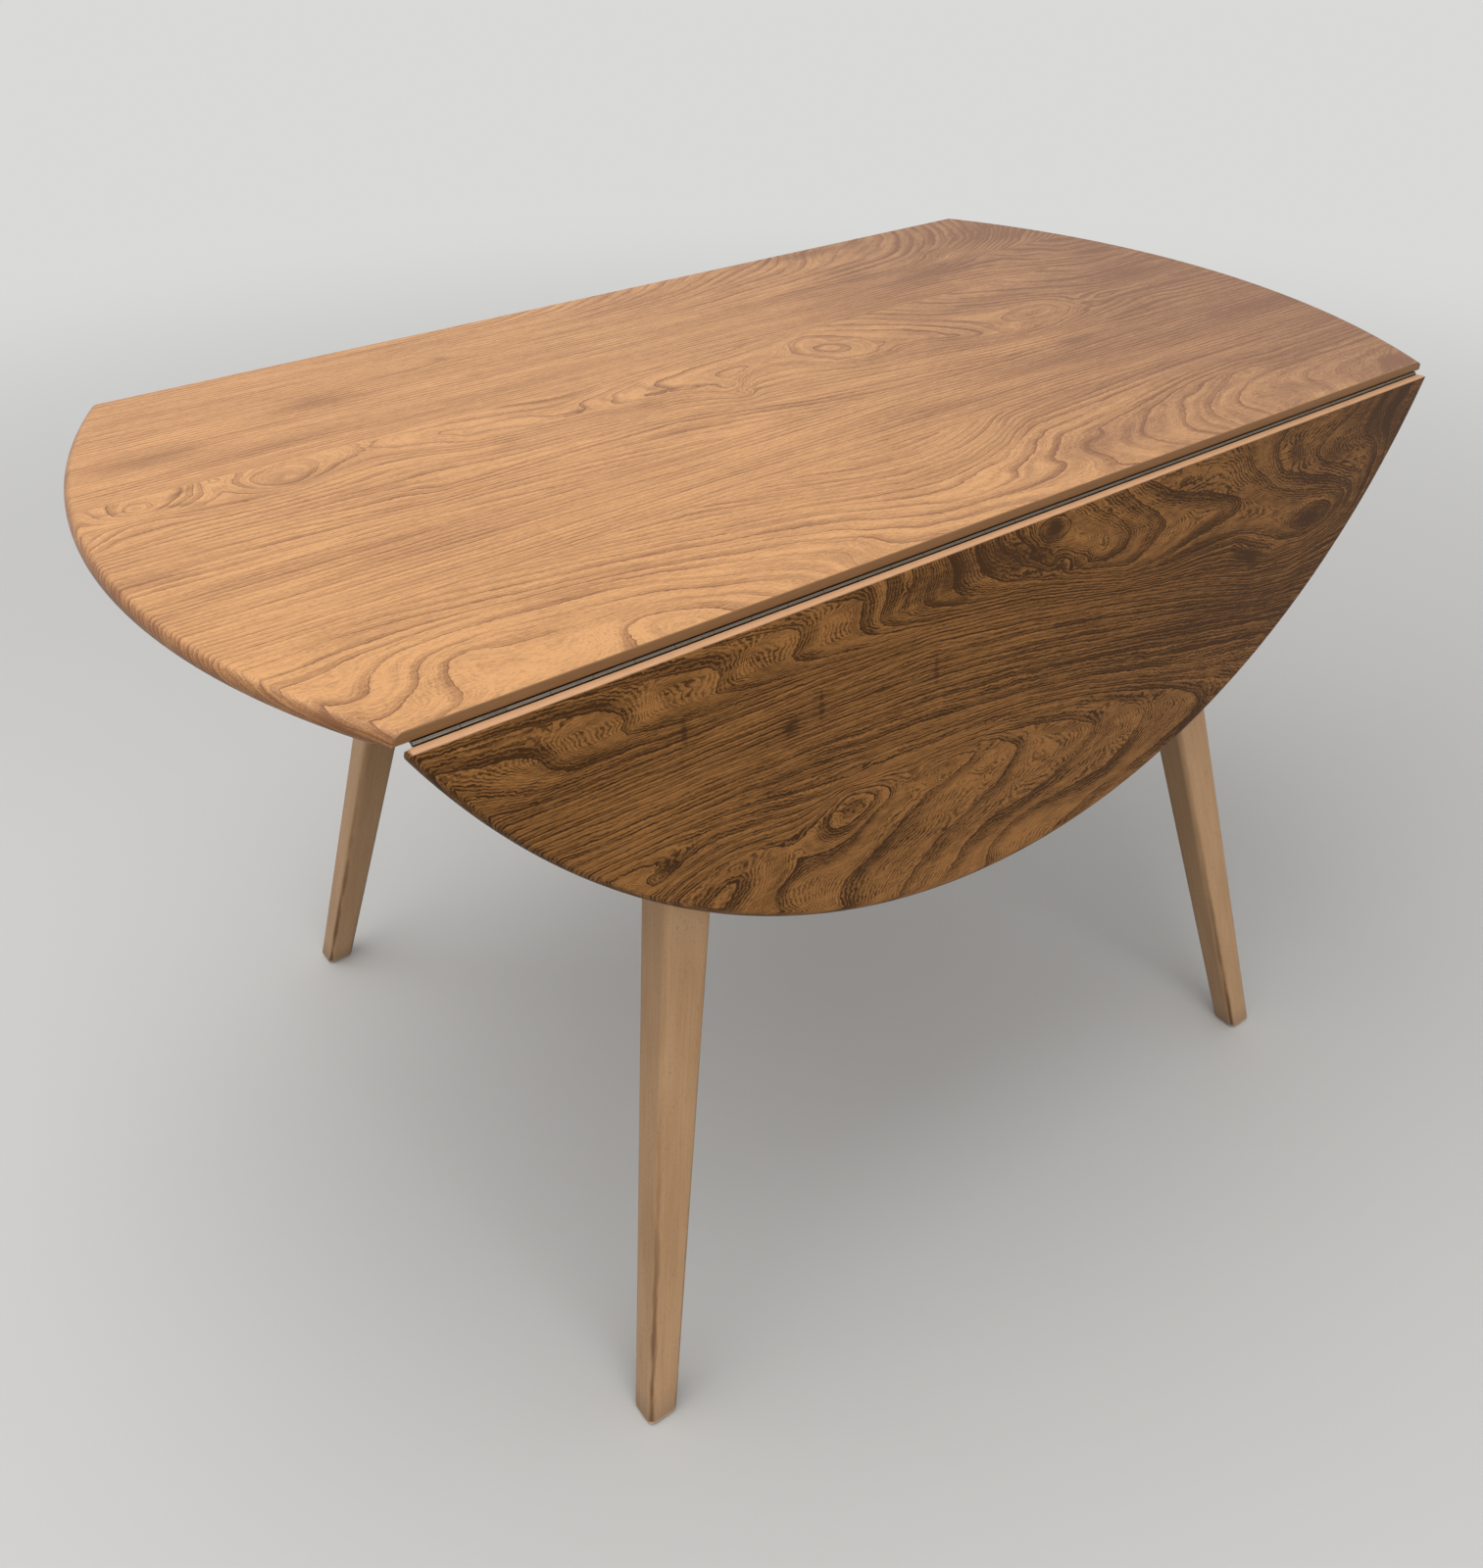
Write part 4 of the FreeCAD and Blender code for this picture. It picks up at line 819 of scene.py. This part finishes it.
class DINING_TABLE_OT_leaves(bpy.types.Operator):
    """Build both half-oval leaves, drawn level and let down about their hinge lines"""
    bl_idname = "dining_table.leaves"
    bl_label = "Leaves"

    def execute(self, context):
        size = Millimetres(settings().boards)
        edge = -size.panel_width / 2 - size.joint_gap
        hinge_y = HINGE_LINE.y * MILLI
        let_down = (Matrix.Translation(HINGE_LINE) @ Matrix.Rotation(LEAF_SWING, 4, "X")
                    @ Matrix.Translation(-HINGE_LINE))
        wood = settings().wood
        finish = elm("elm_leaf", wood.leaf_pale, wood.leaf_ring, wood.leaf_joint, LEAF_LOOK)
        for side, turned, boards, tones in (("front", 0.0, LEAF_BOARDS, LEAF_TONES),
                                            ("rear", math.pi, REAR_LEAF_BOARDS, REAR_LEAF_TONES)):
            piece = board(side + "_leaf_board", -size.open_width, edge, [(edge, 1)], [],
                          lambda x, y: (x, hinge_y - y), boards, tones, LEAF_LOOK, finish)
            piece.data.transform(Matrix.Rotation(turned, 4, "Z") @ let_down)
            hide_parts(side + "_leaf")
            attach(piece, side + "_leaf")
        return {"FINISHED"}


# Legs
QUADRANTS = ((1, 1), (-1, 1), (-1, -1), (1, -1))   # a leg's arrises, in turn
# Places across a leg's flat face, as shares of it, and how near each counts to an arris.
FLAT_PLACES = ((0.12, 0.3), (0.3, 0.1), (0.5, 0.0), (0.7, 0.1), (0.88, 0.3))
LEG_LEVELS = 24               # outlines up a leg, above its chamfer
ARRIS_STEPS = 8               # straight steps round an arris
LEG_SHARP = 50                # degrees above which a leg's edge is sharp
LEG_GRAIN_APART = (200, 300)  # millimetres between one leg's grain and the next


def leg_section(size, share, shrink):
    """One level outline of a leg in millimetres, with how near each place is to an arris."""
    half_x = (size.foot_size_x + (size.top_x - size.foot_size_x) * share) / 2 - shrink
    half_y = (size.foot_size_y + (size.top_y - size.foot_size_y) * share) / 2 - shrink
    radius = size.arris - shrink / 2
    found = []
    for turn, (sx, sy) in enumerate(QUADRANTS):
        for step in range(ARRIS_STEPS + 1):
            part = step / ARRIS_STEPS
            angle = math.pi / 2 * (turn + part)
            found.append((sx * (half_x - radius) + radius * math.cos(angle),
                          sy * (half_y - radius) + radius * math.sin(angle), 1.0 - abs(part - 0.5) * 0.8))
        start_x, start_y, _ = found[-1]
        next_sx, next_sy = QUADRANTS[(turn + 1) % 4]
        if turn % 2 == 0:
            end_x, end_y = next_sx * (half_x - radius), start_y
        else:
            end_x, end_y = start_x, next_sy * (half_y - radius)
        for along, near in FLAT_PLACES:
            found.append((start_x + (end_x - start_x) * along, start_y + (end_y - start_y) * along, near))
    return found


class DINING_TABLE_OT_legs(bpy.types.Operator):
    """Build the four tapered legs"""
    bl_idname = "dining_table.legs"
    bl_label = "Legs"

    def execute(self, context):
        size = Millimetres(settings().legs)
        height = TOP_LOW.z * MILLI
        finish = beech("beech_leg")
        # Height of each outline and how far it shrinks. The chamfer bulges a little half way.
        levels = [(0.0, size.chamfer), (size.chamfer * 0.5, size.chamfer * 0.42), (size.chamfer, 0.0)]
        levels += [(height * step / LEG_LEVELS, 0.0) for step in range(1, LEG_LEVELS + 1)]
        for corner, (sx, sy) in CORNERS.items():
            vertices = []
            grain = []
            arris = []
            for z, shrink in levels:
                share = z / height
                middle_x = sx * (size.foot_x - size.splay_x * share)
                middle_y = sy * (size.foot_y - size.splay_y * share)
                for x, y, near in leg_section(size, share, shrink):
                    vertices.append(((middle_x + x) / MILLI, (middle_y + y) / MILLI, z / MILLI))
                    grain.append((x + LEG_GRAIN_APART[0] * sx, y + LEG_GRAIN_APART[1] * sy, z))
                    arris.append(near)
            around = len(vertices) // len(levels)
            faces = [tuple(reversed(range(around)))]
            for first in range(0, around * (len(levels) - 1), around):
                for n in range(around):
                    a = first + n
                    b = first + (n + 1) % around
                    faces.append((a, b, b + around, a + around))
            faces.append(tuple(range(around * (len(levels) - 1), around * len(levels))))
            piece = drawn_piece(corner + "_tapered_leg", vertices, faces,
                                {"grain_place": grain, "arris": arris}, LEG_SHARP, finish)
            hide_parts(corner + "_leg")
            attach(piece, "table")
        return {"FINISHED"}


# Shader maths, written as sums

class Value:
    """A socket that carries a number or a vector, for use in sums."""

    def __init__(self, shader, socket):
        self.shader = shader
        self.socket = socket

    def __add__(self, other):
        return self.shader.math("ADD", self, other)

    def __radd__(self, other):
        return self.shader.math("ADD", other, self)

    def __sub__(self, other):
        return self.shader.math("SUBTRACT", self, other)

    def __rsub__(self, other):
        return self.shader.math("SUBTRACT", other, self)

    def __mul__(self, other):
        return self.shader.math("MULTIPLY", self, other)

    def __rmul__(self, other):
        return self.shader.math("MULTIPLY", other, self)

    def __truediv__(self, other):
        return self.shader.math("DIVIDE", self, other)

    def __rtruediv__(self, other):
        return self.shader.math("DIVIDE", other, self)


class Shader:
    """The nodes of one material, or of the world."""

    def __init__(self, name, world=None):
        self.material = world or bpy.data.materials.new(name)
        self.material.use_nodes = True
        self.tree = self.material.node_tree
        self.tree.nodes.clear()

    def node(self, kind, options=None, sockets=None):
        """One node: its type, its settings, then the values or links of its sockets."""
        made = self.tree.nodes.new(kind)
        for name, value in (options or {}).items():
            setattr(made, name, value)
        for key, value in (sockets or {}).items():
            if isinstance(value, Value):
                self.tree.links.new(value.socket, made.inputs[key])
            else:
                made.inputs[key].default_value = value
        return made

    def value(self, kind, options=None, sockets=None, output=0):
        return Value(self, self.node(kind, options, sockets).outputs[output])

    def math(self, operation, *terms):
        return self.value("ShaderNodeMath", {"operation": operation}, dict(enumerate(terms)))

    def attribute(self, name, output="Fac"):
        return self.value("ShaderNodeAttribute", {"attribute_name": name}, None, output)

    def place(self):
        """Where the surface is, in metres, as its object has it."""
        return self.value("ShaderNodeTexCoord", output="Object")

    def split(self, vector):
        made = self.node("ShaderNodeSeparateXYZ", None, {0: vector})
        return [Value(self, socket) for socket in made.outputs]

    def noise(self, place, size=(1, 1, 1), detail=2.0, roughness=0.5):
        """Noise from 0 to 1, with features about that long on each axis of the place."""
        scaled = [axis if reach == 1 else axis / reach for axis, reach in zip(place, size)]
        vector = self.value("ShaderNodeCombineXYZ", None, dict(enumerate(scaled)))
        return self.value("ShaderNodeTexNoise", {"noise_dimensions": "3D"},
                          {"Vector": vector, "Scale": 1.0, "Detail": detail, "Roughness": roughness})

    def smooth(self, value, low, high):
        """0 below low, 1 above high, smooth between; the other way round where low is above high."""
        return self.value("ShaderNodeMapRange", {"interpolation_type": "SMOOTHSTEP"},
                          {"Value": value, "From Min": low, "From Max": high})

    def mix(self, share, first, second):
        """A colour between two colours."""
        made = self.node("ShaderNodeMix", {"data_type": "RGBA"}, {0: share})
        for socket, value in ((made.inputs[6], first), (made.inputs[7], second)):
            if isinstance(value, Value):
                self.tree.links.new(value.socket, socket)
            else:
                socket.default_value = (*value, 1.0)
        return Value(self, made.outputs[2])

    def seen(self):
        """1 where the camera looks, also by reflection or through glass, and 0 for light from elsewhere."""
        path = self.node("ShaderNodeLightPath").outputs
        camera, glossy, through = [Value(self, path["Is " + ray + " Ray"])
                                   for ray in ("Camera", "Glossy", "Transmission")]
        return camera + glossy + through

    def finish(self, sockets, height, depth):
        """The surface itself, with a bump of that depth in metres."""
        sockets["Normal"] = self.value("ShaderNodeBump", None,
                                       {"Height": height, "Distance": depth, "Strength": 1.0})
        surface = self.value("ShaderNodeBsdfPrincipled", None, sockets)
        self.node("ShaderNodeOutputMaterial", None, {"Surface": surface})
        return self.material


def darker(tint, share):
    return tuple(share * part for part in tint)


# Finishes
VEIN_STEP = 2.7               # millimetres between the fine veins that follow a ring line
RUBBED_BELOW = (330.0, 10.0)  # millimetres up a leg, between which the wear of its arrises grows
BARE_BELOW = (5.4, 4.2)       # millimetres up a leg, between which the foot's bare chamfer starts
# How strongly each feature darkens the wood, how much painted shade darkens the far end and the rounded
# oval edge, how shiny the wax is, and the width in millimetres of the soft band beyond a ring line.
TOP_LOOK = {
    "base": 0.2, "lines": 0.85, "band": 7.0, "fine": 0.4, "veins": 0.2, "straight_veins": 0.3,
    "patches": 0.6, "far_end_shade": 0.9, "rim": 0.6, "smudges": 0.22, "fibres": 1.5, "dashes": 0.3,
    "shine": 0.27,
}
LEAF_LOOK = {
    "base": 0.38, "lines": 1.0, "band": 13.0, "fine": 0.3, "veins": 0.65, "straight_veins": 0.6,
    "patches": 0.75, "far_end_shade": 0.5, "rim": 0.2, "smudges": 0.06, "fibres": 1.7, "dashes": 0.25,
    "shine": 0.12,
}
# Size in millimetres of each feature of the grain: along the board, across it and into it.
ELM_SWAY = (38, 15, 15)       # slow waver of the growth rings
ELM_JAG = (5.5, 4.2, 4.2)     # short jags of the growth rings
ELM_ZIGZAG = (3.2, 3.2, 3.2)  # zigzag of the fine veins
ELM_FIBRE = (16, 0.7, 0.7)
ELM_DASH = (13, 1.9, 1.9)
ELM_PORE = (4.5, 0.5, 0.5)
ELM_BROAD = (150, 34, 34)     # wide streaks, darker or paler


def elm_rings(shader, place, look):
    """How strong a ring line, a vein that follows it and two kinds of streak are at each place."""
    along, across, _ = place
    slope = shader.math("MAXIMUM", shader.attribute("ring_slope"), 0.02)
    spread = shader.smooth(slope, 0.25, 0.05)             # 1 where the rings are far apart
    sway = shader.noise(place, ELM_SWAY)
    jag = shader.noise(place, ELM_JAG, roughness=0.6)
    moved = (sway - 0.5) * 5 + (jag - 0.5) * 3.4          # millimetres across the rings
    grown = shader.attribute("growth_ring") + moved * slope * (0.35 + 0.65 * spread)
    phase = shader.math("FRACT", grown)
    ring = grown - phase                                  # the last ring line's number
    above = phase / slope                                 # millimetres beyond that line
    each = shader.smooth(shader.noise((ring * 1.7, along / 150, across / 60), detail=1.0), 0.32, 0.66)
    sharp = shader.smooth(above, 0.0, 0.3) * shader.smooth(above, 2.2, 0.3) * (0.45 + each * 0.55)
    band = look["band"]
    soft = shader.smooth(above, 0.0, 0.4) * shader.smooth(above, band * (0.6 + each * 1.2), band * 0.15)
    soft = soft * (0.3 + each * 0.7) * (0.4 + spread * 0.6)
    line = (sharp * 0.5 + soft * 0.5) * shader.smooth(phase, 0.97, 0.45)
    zigzag = (shader.noise(place, ELM_ZIGZAG, detail=1.0) - 0.5) * (0.7 + spread * 1.7)
    drift = shader.noise((ring * 2.3, along / 42, across / 26))
    wave = shader.math("SINE", (above + zigzag) * (2 * math.pi / VEIN_STEP) + drift * 14)
    strong = shader.smooth(shader.noise((along / 22, across / 6, ring * 1.3)), 0.3, 0.62)
    vein = shader.smooth(wave, -0.7, 0.9) * (0.25 + strong * 0.75)
    straight = look["straight_veins"]
    vein = (vein - 0.33) * (straight + spread * (1.0 - straight))
    streak = shader.noise((grown * 6, along / 40, across / 40))
    fine = shader.noise((grown * 3.1, along / 110, across / 80), detail=3.0, roughness=0.75)
    fine = shader.smooth(fine, 0.3, 0.7)
    return line, vein, streak, fine


def elm(name, pale, ring, joint, look):
    """Waxed elm with growth rings from the board's own figure."""
    shader = Shader(name)
    place = shader.split(shader.attribute("grain_place", "Vector"))
    along, across, into = place
    line, vein, streak, fine = elm_rings(shader, place, look)
    fleck = shader.noise((along / 3.6 + across / 2.2, across / 1.3, into / 1.3), roughness=0.6)
    fibre = shader.noise(place, ELM_FIBRE, roughness=0.6)
    dash = shader.noise(place, ELM_DASH, roughness=0.65)
    pore = shader.smooth(shader.noise(place, ELM_PORE, detail=1.0), 0.60, 0.72)
    broad = shader.noise(place, ELM_BROAD, detail=3.0, roughness=0.55)
    tone = shader.attribute("tone")
    dark = line * look["lines"] + vein * look["veins"] + tone * look["patches"] + (fine - 0.5) * look["fine"]
    small = (fleck - 0.5) * 0.4 + (fibre - 0.5) * 0.6 + (dash - 0.5) * look["dashes"]
    dark = dark + (streak - 0.5) * 0.3 + small * look["fibres"] + (broad - 0.5) * 0.5 + look["base"]
    # Painted shade darkens the wood near the oval's edge.
    dark = dark + shader.smooth(shader.attribute("rim"), 0.1, 0.9) * (0.2 + broad * look["rim"])
    shade = shader.value("ShaderNodeMapRange", None, {"Value": dark, "From Min": 0.0, "From Max": 1.0})
    base = shader.mix(shade, pale, ring)
    smudged = shader.smooth(tone + (broad - 0.5) * 0.6, 0.2, 0.9)
    base = shader.mix(smudged * look["smudges"], base, settings().wood.smudge)
    base = shader.mix(pore * 0.5, base, darker(ring, 0.6))
    edge_wood = shader.mix(streak * 0.6 + (fibre - 0.5) * 0.8, joint, darker(joint, 0.55))
    base = shader.mix(shader.attribute("joint_edge"), base, edge_wood)
    rough = 0.34 + shade * 0.12 + (fibre - 0.5) * 0.14
    height = line * -0.5 + pore * -0.8 + (fleck - 0.5) * 0.3
    return shader.finish({"Base Color": base, "Roughness": rough, "Specular IOR Level": look["shine"],
                          "Coat Weight": look["shine"] / 2, "Coat Roughness": 0.2}, height, depth=0.00012)


def beech(name, turned=None):
    """Pale beech with fine grain and short brown flecks.

    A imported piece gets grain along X, turned by some angles. A leg has none: its vertices hold its grain,
    and its lower arrises and foot are worn.
    """
    shader = Shader(name)
    wood = settings().wood
    if turned is None:
        across, over, run = shader.split(shader.attribute("grain_place", "Vector"))
    else:
        place = shader.value("ShaderNodeVectorRotate", {"rotation_type": "EULER_XYZ", "invert": True},
                             {"Vector": shader.place(), "Rotation": turned})
        run, across, over = [axis * MILLI for axis in shader.split(place)]
    place = (across, over, run)
    wave = shader.noise(place, (14, 14, 160))
    grain = shader.noise((across / 1.9 + wave * 5, over / 1.9, run / 90), detail=3.0, roughness=0.6)
    fleck = shader.smooth(shader.noise(place, (0.45, 0.45, 2.6), detail=0.0), 0.68, 0.76)
    broad = shader.noise(place, (30, 30, 120))
    shade = shader.smooth((grain - 0.5) * 0.9 + (broad - 0.5) * 1.2 + 0.4, 0.0, 1.0)
    base = shader.mix(shade, wood.beech_pale, wood.beech_dark)
    base = shader.mix(fleck * 0.45, base, darker(wood.beech_dark, 0.55))
    if turned is None:
        rubbed = shader.noise(place, (5, 5, 30), detail=4.0, roughness=0.6)
        low = shader.smooth(run, *RUBBED_BELOW)
        wear = shader.smooth(shader.attribute("arris") + (rubbed - 0.5) * 0.5, 0.7, 1.0) * (0.15 + low * 0.8)
        base = shader.mix(wear, base, wood.beech_worn)
        base = shader.mix(shader.smooth(run, *BARE_BELOW) * 0.75, base, wood.beech_bare)
    rough = 0.42 + (grain - 0.5) * 0.2
    return shader.finish({"Base Color": base, "Roughness": rough, "Specular IOR Level": 0.25},
                         grain * 0.6 - fleck, depth=0.00006)


def steel(name, tint, dullness, hinge=False):
    """Plain steel, dull in patches. A hinge gets painted shade: dark everywhere but its barrel's up-and-out
    side.
    """
    shader = Shader(name)
    place = [axis * MILLI for axis in shader.split(shader.place())]
    patch = shader.noise(place, (9, 9, 9), detail=4.0, roughness=0.6)
    brushed = shader.noise(place, (7, 0.5, 0.5))
    stain = shader.smooth(patch, 0.48, 0.72)
    base = shader.mix(stain * 0.7, tint, settings().steel.stain)
    if hinge:
        _, y, z = place
        # Painted shade: the hinge turns dark away from the up-and-out face of its barrel.
        beside = shader.math("ABSOLUTE", y) + HINGE_LINE.y * MILLI
        facing = (beside + z - HINGE_LINE.z * MILLI) / (BARREL_RADIUS * math.sqrt(2.0))
        base = shader.mix(shader.smooth(facing, 0.84, 0.96), settings().steel.painted_barrel_shade, base)
    rough = dullness + stain * 0.3 + (brushed - 0.5) * 0.12
    return shader.finish({"Base Color": base, "Metallic": 0.95 - stain * 0.45, "Roughness": rough},
                         brushed * 0.5 + patch, depth=0.00005)


def dress(names, finish):
    """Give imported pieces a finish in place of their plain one."""
    for name in names:
        mesh = frame["nodes"][name].data
        mesh.materials.clear()
        mesh.materials.append(finish)


class DINING_TABLE_OT_underframe(bpy.types.Operator):
    """Finish the beech rails, braces and stays"""
    bl_idname = "dining_table.underframe"
    bl_label = "Rails, braces and stays"

    def execute(self, context):
        quarter = math.pi / 2
        end_rails = ["left_end_rail", "right_end_rail", "centre_cross_rail"]
        dress(["front_side_rail", "rear_side_rail"], beech("beech_side_rail", (0.0, 0.0, 0.0)))
        dress(end_rails, beech("beech_end_rail", (0.0, 0.0, quarter)))
        for corner, (sx, sy) in CORNERS.items():
            turned = (0.0, 0.0, -sx * sy * quarter / 2)
            dress([corner + "_corner_brace"], beech("beech_brace_" + corner, turned))
        dress([corner + "_stay" for corner in CORNERS], beech("beech_stay", (0.0, quarter, 0.0)))
        dress([corner + "_stay_catch" for corner in CORNERS], beech("beech_catch", (0.0, 0.0, 0.0)))
        return {"FINISHED"}


class DINING_TABLE_OT_fittings(bpy.types.Operator):
    """Finish the hinges, brackets, pins and screws"""
    bl_idname = "dining_table.fittings"
    bl_label = "Hinges, brackets and screws"

    def execute(self, context):
        tints = settings().steel

        def named(starts, ends):
            return [start + end for start in starts for end in ends]

        hinges = named(("front", "rear"), ("_hinge_fixed_flap", "_hinge_leaf_flap", "_hinge_pin"))
        brackets = named(CORNERS, ("_stay_bracket", "_stay_pin")) + ["top_angle_brackets"]
        screws = named(("front", "rear"), ("_hinge_leaf_screws", "_hinge_fixed_screws", "_catch_screws",
                                           "_bracket_screws"))
        screws += ["corner_brace_screws", "top_angle_upper_screws", "top_angle_rail_screws"]
        dress(hinges, steel("hinge_steel_aged", tints.hinge, dullness=0.34, hinge=True))
        dress(brackets, steel("bracket_steel_plain", tints.bracket, dullness=0.38))
        dress(screws, steel("screw_steel_plain", tints.screw, dullness=0.3))
        return {"FINISHED"}


# Floor, light and camera
FLOOR_FADE = (0.9, 3.4)       # metres from the table's middle, between which the floor turns into backdrop
FLOOR_CLOUDS = (0.7, 0.7, 1)  # metres, size of the faint clouds in the floor
# Soft lamps: place, the place they face, and size, in metres.
LAMPS = {
    "overhead": ((-0.8, 0.2, 2.6), (-0.1, 0.0, 0.7), (2.4, 2.4)),
    "front": ((-0.7, -3.3, 1.9), (0.0, 0.0, 0.45), (2.4, 1.4)),
    "side": ((-3.3, 0.5, 2.0), (0.0, 0.0, 0.45), (1.6, 0.4)),
}
CAMERA_PLACE = Vector((-0.73202, -0.96475, 1.17577))
CAMERA_YAW = 0.624            # radians, from +Y towards +X
CAMERA_PITCH = 0.5431         # radians, below level
CAMERA_ROLL = -0.00758
PHOTO_SIZE = (1513, 1600)     # pixels
PHOTO_FOCAL = 1486.08         # pixels
PHOTO_CENTRE_Y = 660.31       # pixels from the top, where the lens looks straight on
SENSOR = 36.0                 # millimetres, along the photo's longer side


class DINING_TABLE_OT_stage(bpy.types.Operator):
    """Set up the floor, the light and the camera"""
    bl_idname = "dining_table.stage"
    bl_label = "Floor, light and camera"

    def execute(self, context):
        stage = settings().stage
        scene = context.scene
        half = stage.floor_size / 2
        mesh = bpy.data.meshes.new("floor")
        mesh.from_pydata([(sx * half, sy * half, 0) for sx, sy in ((-1, -1), (1, -1), (1, 1), (-1, 1))],
                         [], [(0, 1, 2, 3)])
        mesh.materials.append(self.floor_finish(stage))
        floor = bpy.data.objects.new("floor", mesh)
        scene.collection.objects.link(floor)
        scene.world = self.room(stage)
        for name, (place, aim, size) in LAMPS.items():
            light = bpy.data.lights.new(name + "_lamp", "AREA")
            light.shape = "RECTANGLE"
            light.size, light.size_y = size
            light.energy = getattr(stage, name + "_power")
            lamp = bpy.data.objects.new(name + "_lamp", light)
            lamp.location = place
            lamp.rotation_euler = (Vector(aim) - Vector(place)).to_track_quat("-Z", "Y").to_euler()
            scene.collection.objects.link(lamp)
        camera = self.camera()
        scene.collection.objects.link(camera)
        scene.camera = camera
        scene.view_settings.view_transform = "Standard"
        return {"FINISHED"}

    def floor_finish(self, stage):
        """Plain and pale with the table's shadow, fading into the backdrop, and clear from below."""
        shader = Shader("floor")
        place = shader.place()
        cloud = shader.noise(shader.split(place), FLOOR_CLOUDS, detail=4.0, roughness=0.6)
        seen = shader.seen()
        tone = shader.mix(seen, stage.floor_bounce, stage.floor_colour)
        tone = shader.mix(cloud * 0.12, tone, stage.floor_cloud)
        surface = shader.value("ShaderNodeBsdfPrincipled", None, {"Base Color": tone, "Roughness": 0.75})
        glow = shader.value("ShaderNodeEmission", None, {"Color": (*stage.backdrop_colour, 1.0)})
        away = shader.value("ShaderNodeVectorMath", {"operation": "LENGTH"}, {0: place}, output=1)
        surface = shader.value("ShaderNodeMixShader", None,
                               {0: shader.smooth(away, *FLOOR_FADE) * seen, 1: surface, 2: glow})
        clear = shader.value("ShaderNodeBsdfTransparent")
        below = shader.value("ShaderNodeNewGeometry", output="Backfacing")
        both = shader.value("ShaderNodeMixShader", None, {0: below, 1: surface, 2: clear})
        shader.node("ShaderNodeOutputMaterial", None, {"Surface": both})
        return shader.material

    def room(self, stage):
        """The backdrop where it is seen, and even light from above elsewhere."""
        world = bpy.data.worlds.new("room")
        shader = Shader("room", world)
        up = shader.split(shader.value("ShaderNodeTexCoord", output="Generated"))[2]
        high = shader.smooth(up, 0.05, 0.65)
        sky = shader.mix(high, darker(stage.sky_colour, stage.horizon_share), stage.sky_colour)
        light = shader.value("ShaderNodeBackground", None, {"Color": sky, "Strength": stage.sky_strength})
        backdrop = shader.value("ShaderNodeBackground", None, {"Color": (*stage.backdrop_colour, 1.0)})
        both = shader.value("ShaderNodeMixShader", None, {0: shader.seen(), 1: light, 2: backdrop})
        shader.node("ShaderNodeOutputWorld", None, {"Surface": both})
        return world

    def camera(self):
        """The camera, where the photo was taken from."""
        forward = Vector((math.sin(CAMERA_YAW) * math.cos(CAMERA_PITCH),
                          math.cos(CAMERA_YAW) * math.cos(CAMERA_PITCH), -math.sin(CAMERA_PITCH)))
        right = Vector((math.cos(CAMERA_YAW), -math.sin(CAMERA_YAW), 0.0))
        up = right.cross(forward)
        rolled_right = right * math.cos(CAMERA_ROLL) + up * math.sin(CAMERA_ROLL)
        rolled_up = up * math.cos(CAMERA_ROLL) - right * math.sin(CAMERA_ROLL)
        lens = bpy.data.cameras.new("photo_camera")
        lens.sensor_fit = "AUTO"
        lens.sensor_width = SENSOR
        lens.lens = PHOTO_FOCAL / max(PHOTO_SIZE) * SENSOR
        lens.shift_y = (PHOTO_CENTRE_Y - PHOTO_SIZE[1] / 2) / max(PHOTO_SIZE)
        lens.clip_end = 200.0
        camera = bpy.data.objects.new("photo_camera", lens)
        columns = Matrix((rolled_right, rolled_up, -forward)).transposed().to_4x4()
        camera.matrix_world = Matrix.Translation(CAMERA_PLACE) @ columns
        return camera


STEPS = (
    DINING_TABLE_OT_stage,
    DINING_TABLE_OT_top_panel,
    DINING_TABLE_OT_leaves,
    DINING_TABLE_OT_legs,
    DINING_TABLE_OT_underframe,
    DINING_TABLE_OT_fittings,
)


class DINING_TABLE_PT_steps(bpy.types.Panel):
    """Sizes, colours and steps of the dining table"""
    bl_idname = "DINING_TABLE_PT_steps"
    bl_label = "Drop-leaf dining table"
    bl_space_type = "VIEW_3D"
    bl_region_type = "UI"
    bl_category = "Dining table"

    def draw(self, context):
        table = context.scene.dining_table
        for group in (table.boards, table.legs, table.wood, table.steel, table.stage):
            box = self.layout.box()
            for name in group.bl_rna.properties.keys():
                if name not in ("rna_type", "name"):
                    box.prop(group, name)
        for step in STEPS:
            self.layout.operator(step.bl_idname)


GROUPS = (BoardSizes, LegSizes, WoodColours, SteelColours, StageSettings, TableSettings)
CLASSES = GROUPS + STEPS + (DINING_TABLE_PT_steps,)


def register():
    for one in CLASSES:
        bpy.utils.register_class(one)
    bpy.types.Scene.dining_table = bpy.props.PointerProperty(type=TableSettings)


def unregister():
    del bpy.types.Scene.dining_table
    for one in reversed(CLASSES):
        bpy.utils.unregister_class(one)


def main():
    register()
    bpy.ops.dining_table.stage()
    bpy.ops.dining_table.top_panel()
    bpy.ops.dining_table.leaves()
    bpy.ops.dining_table.legs()
    bpy.ops.dining_table.underframe()
    bpy.ops.dining_table.fittings()


if __name__ == "__main__":
    main()
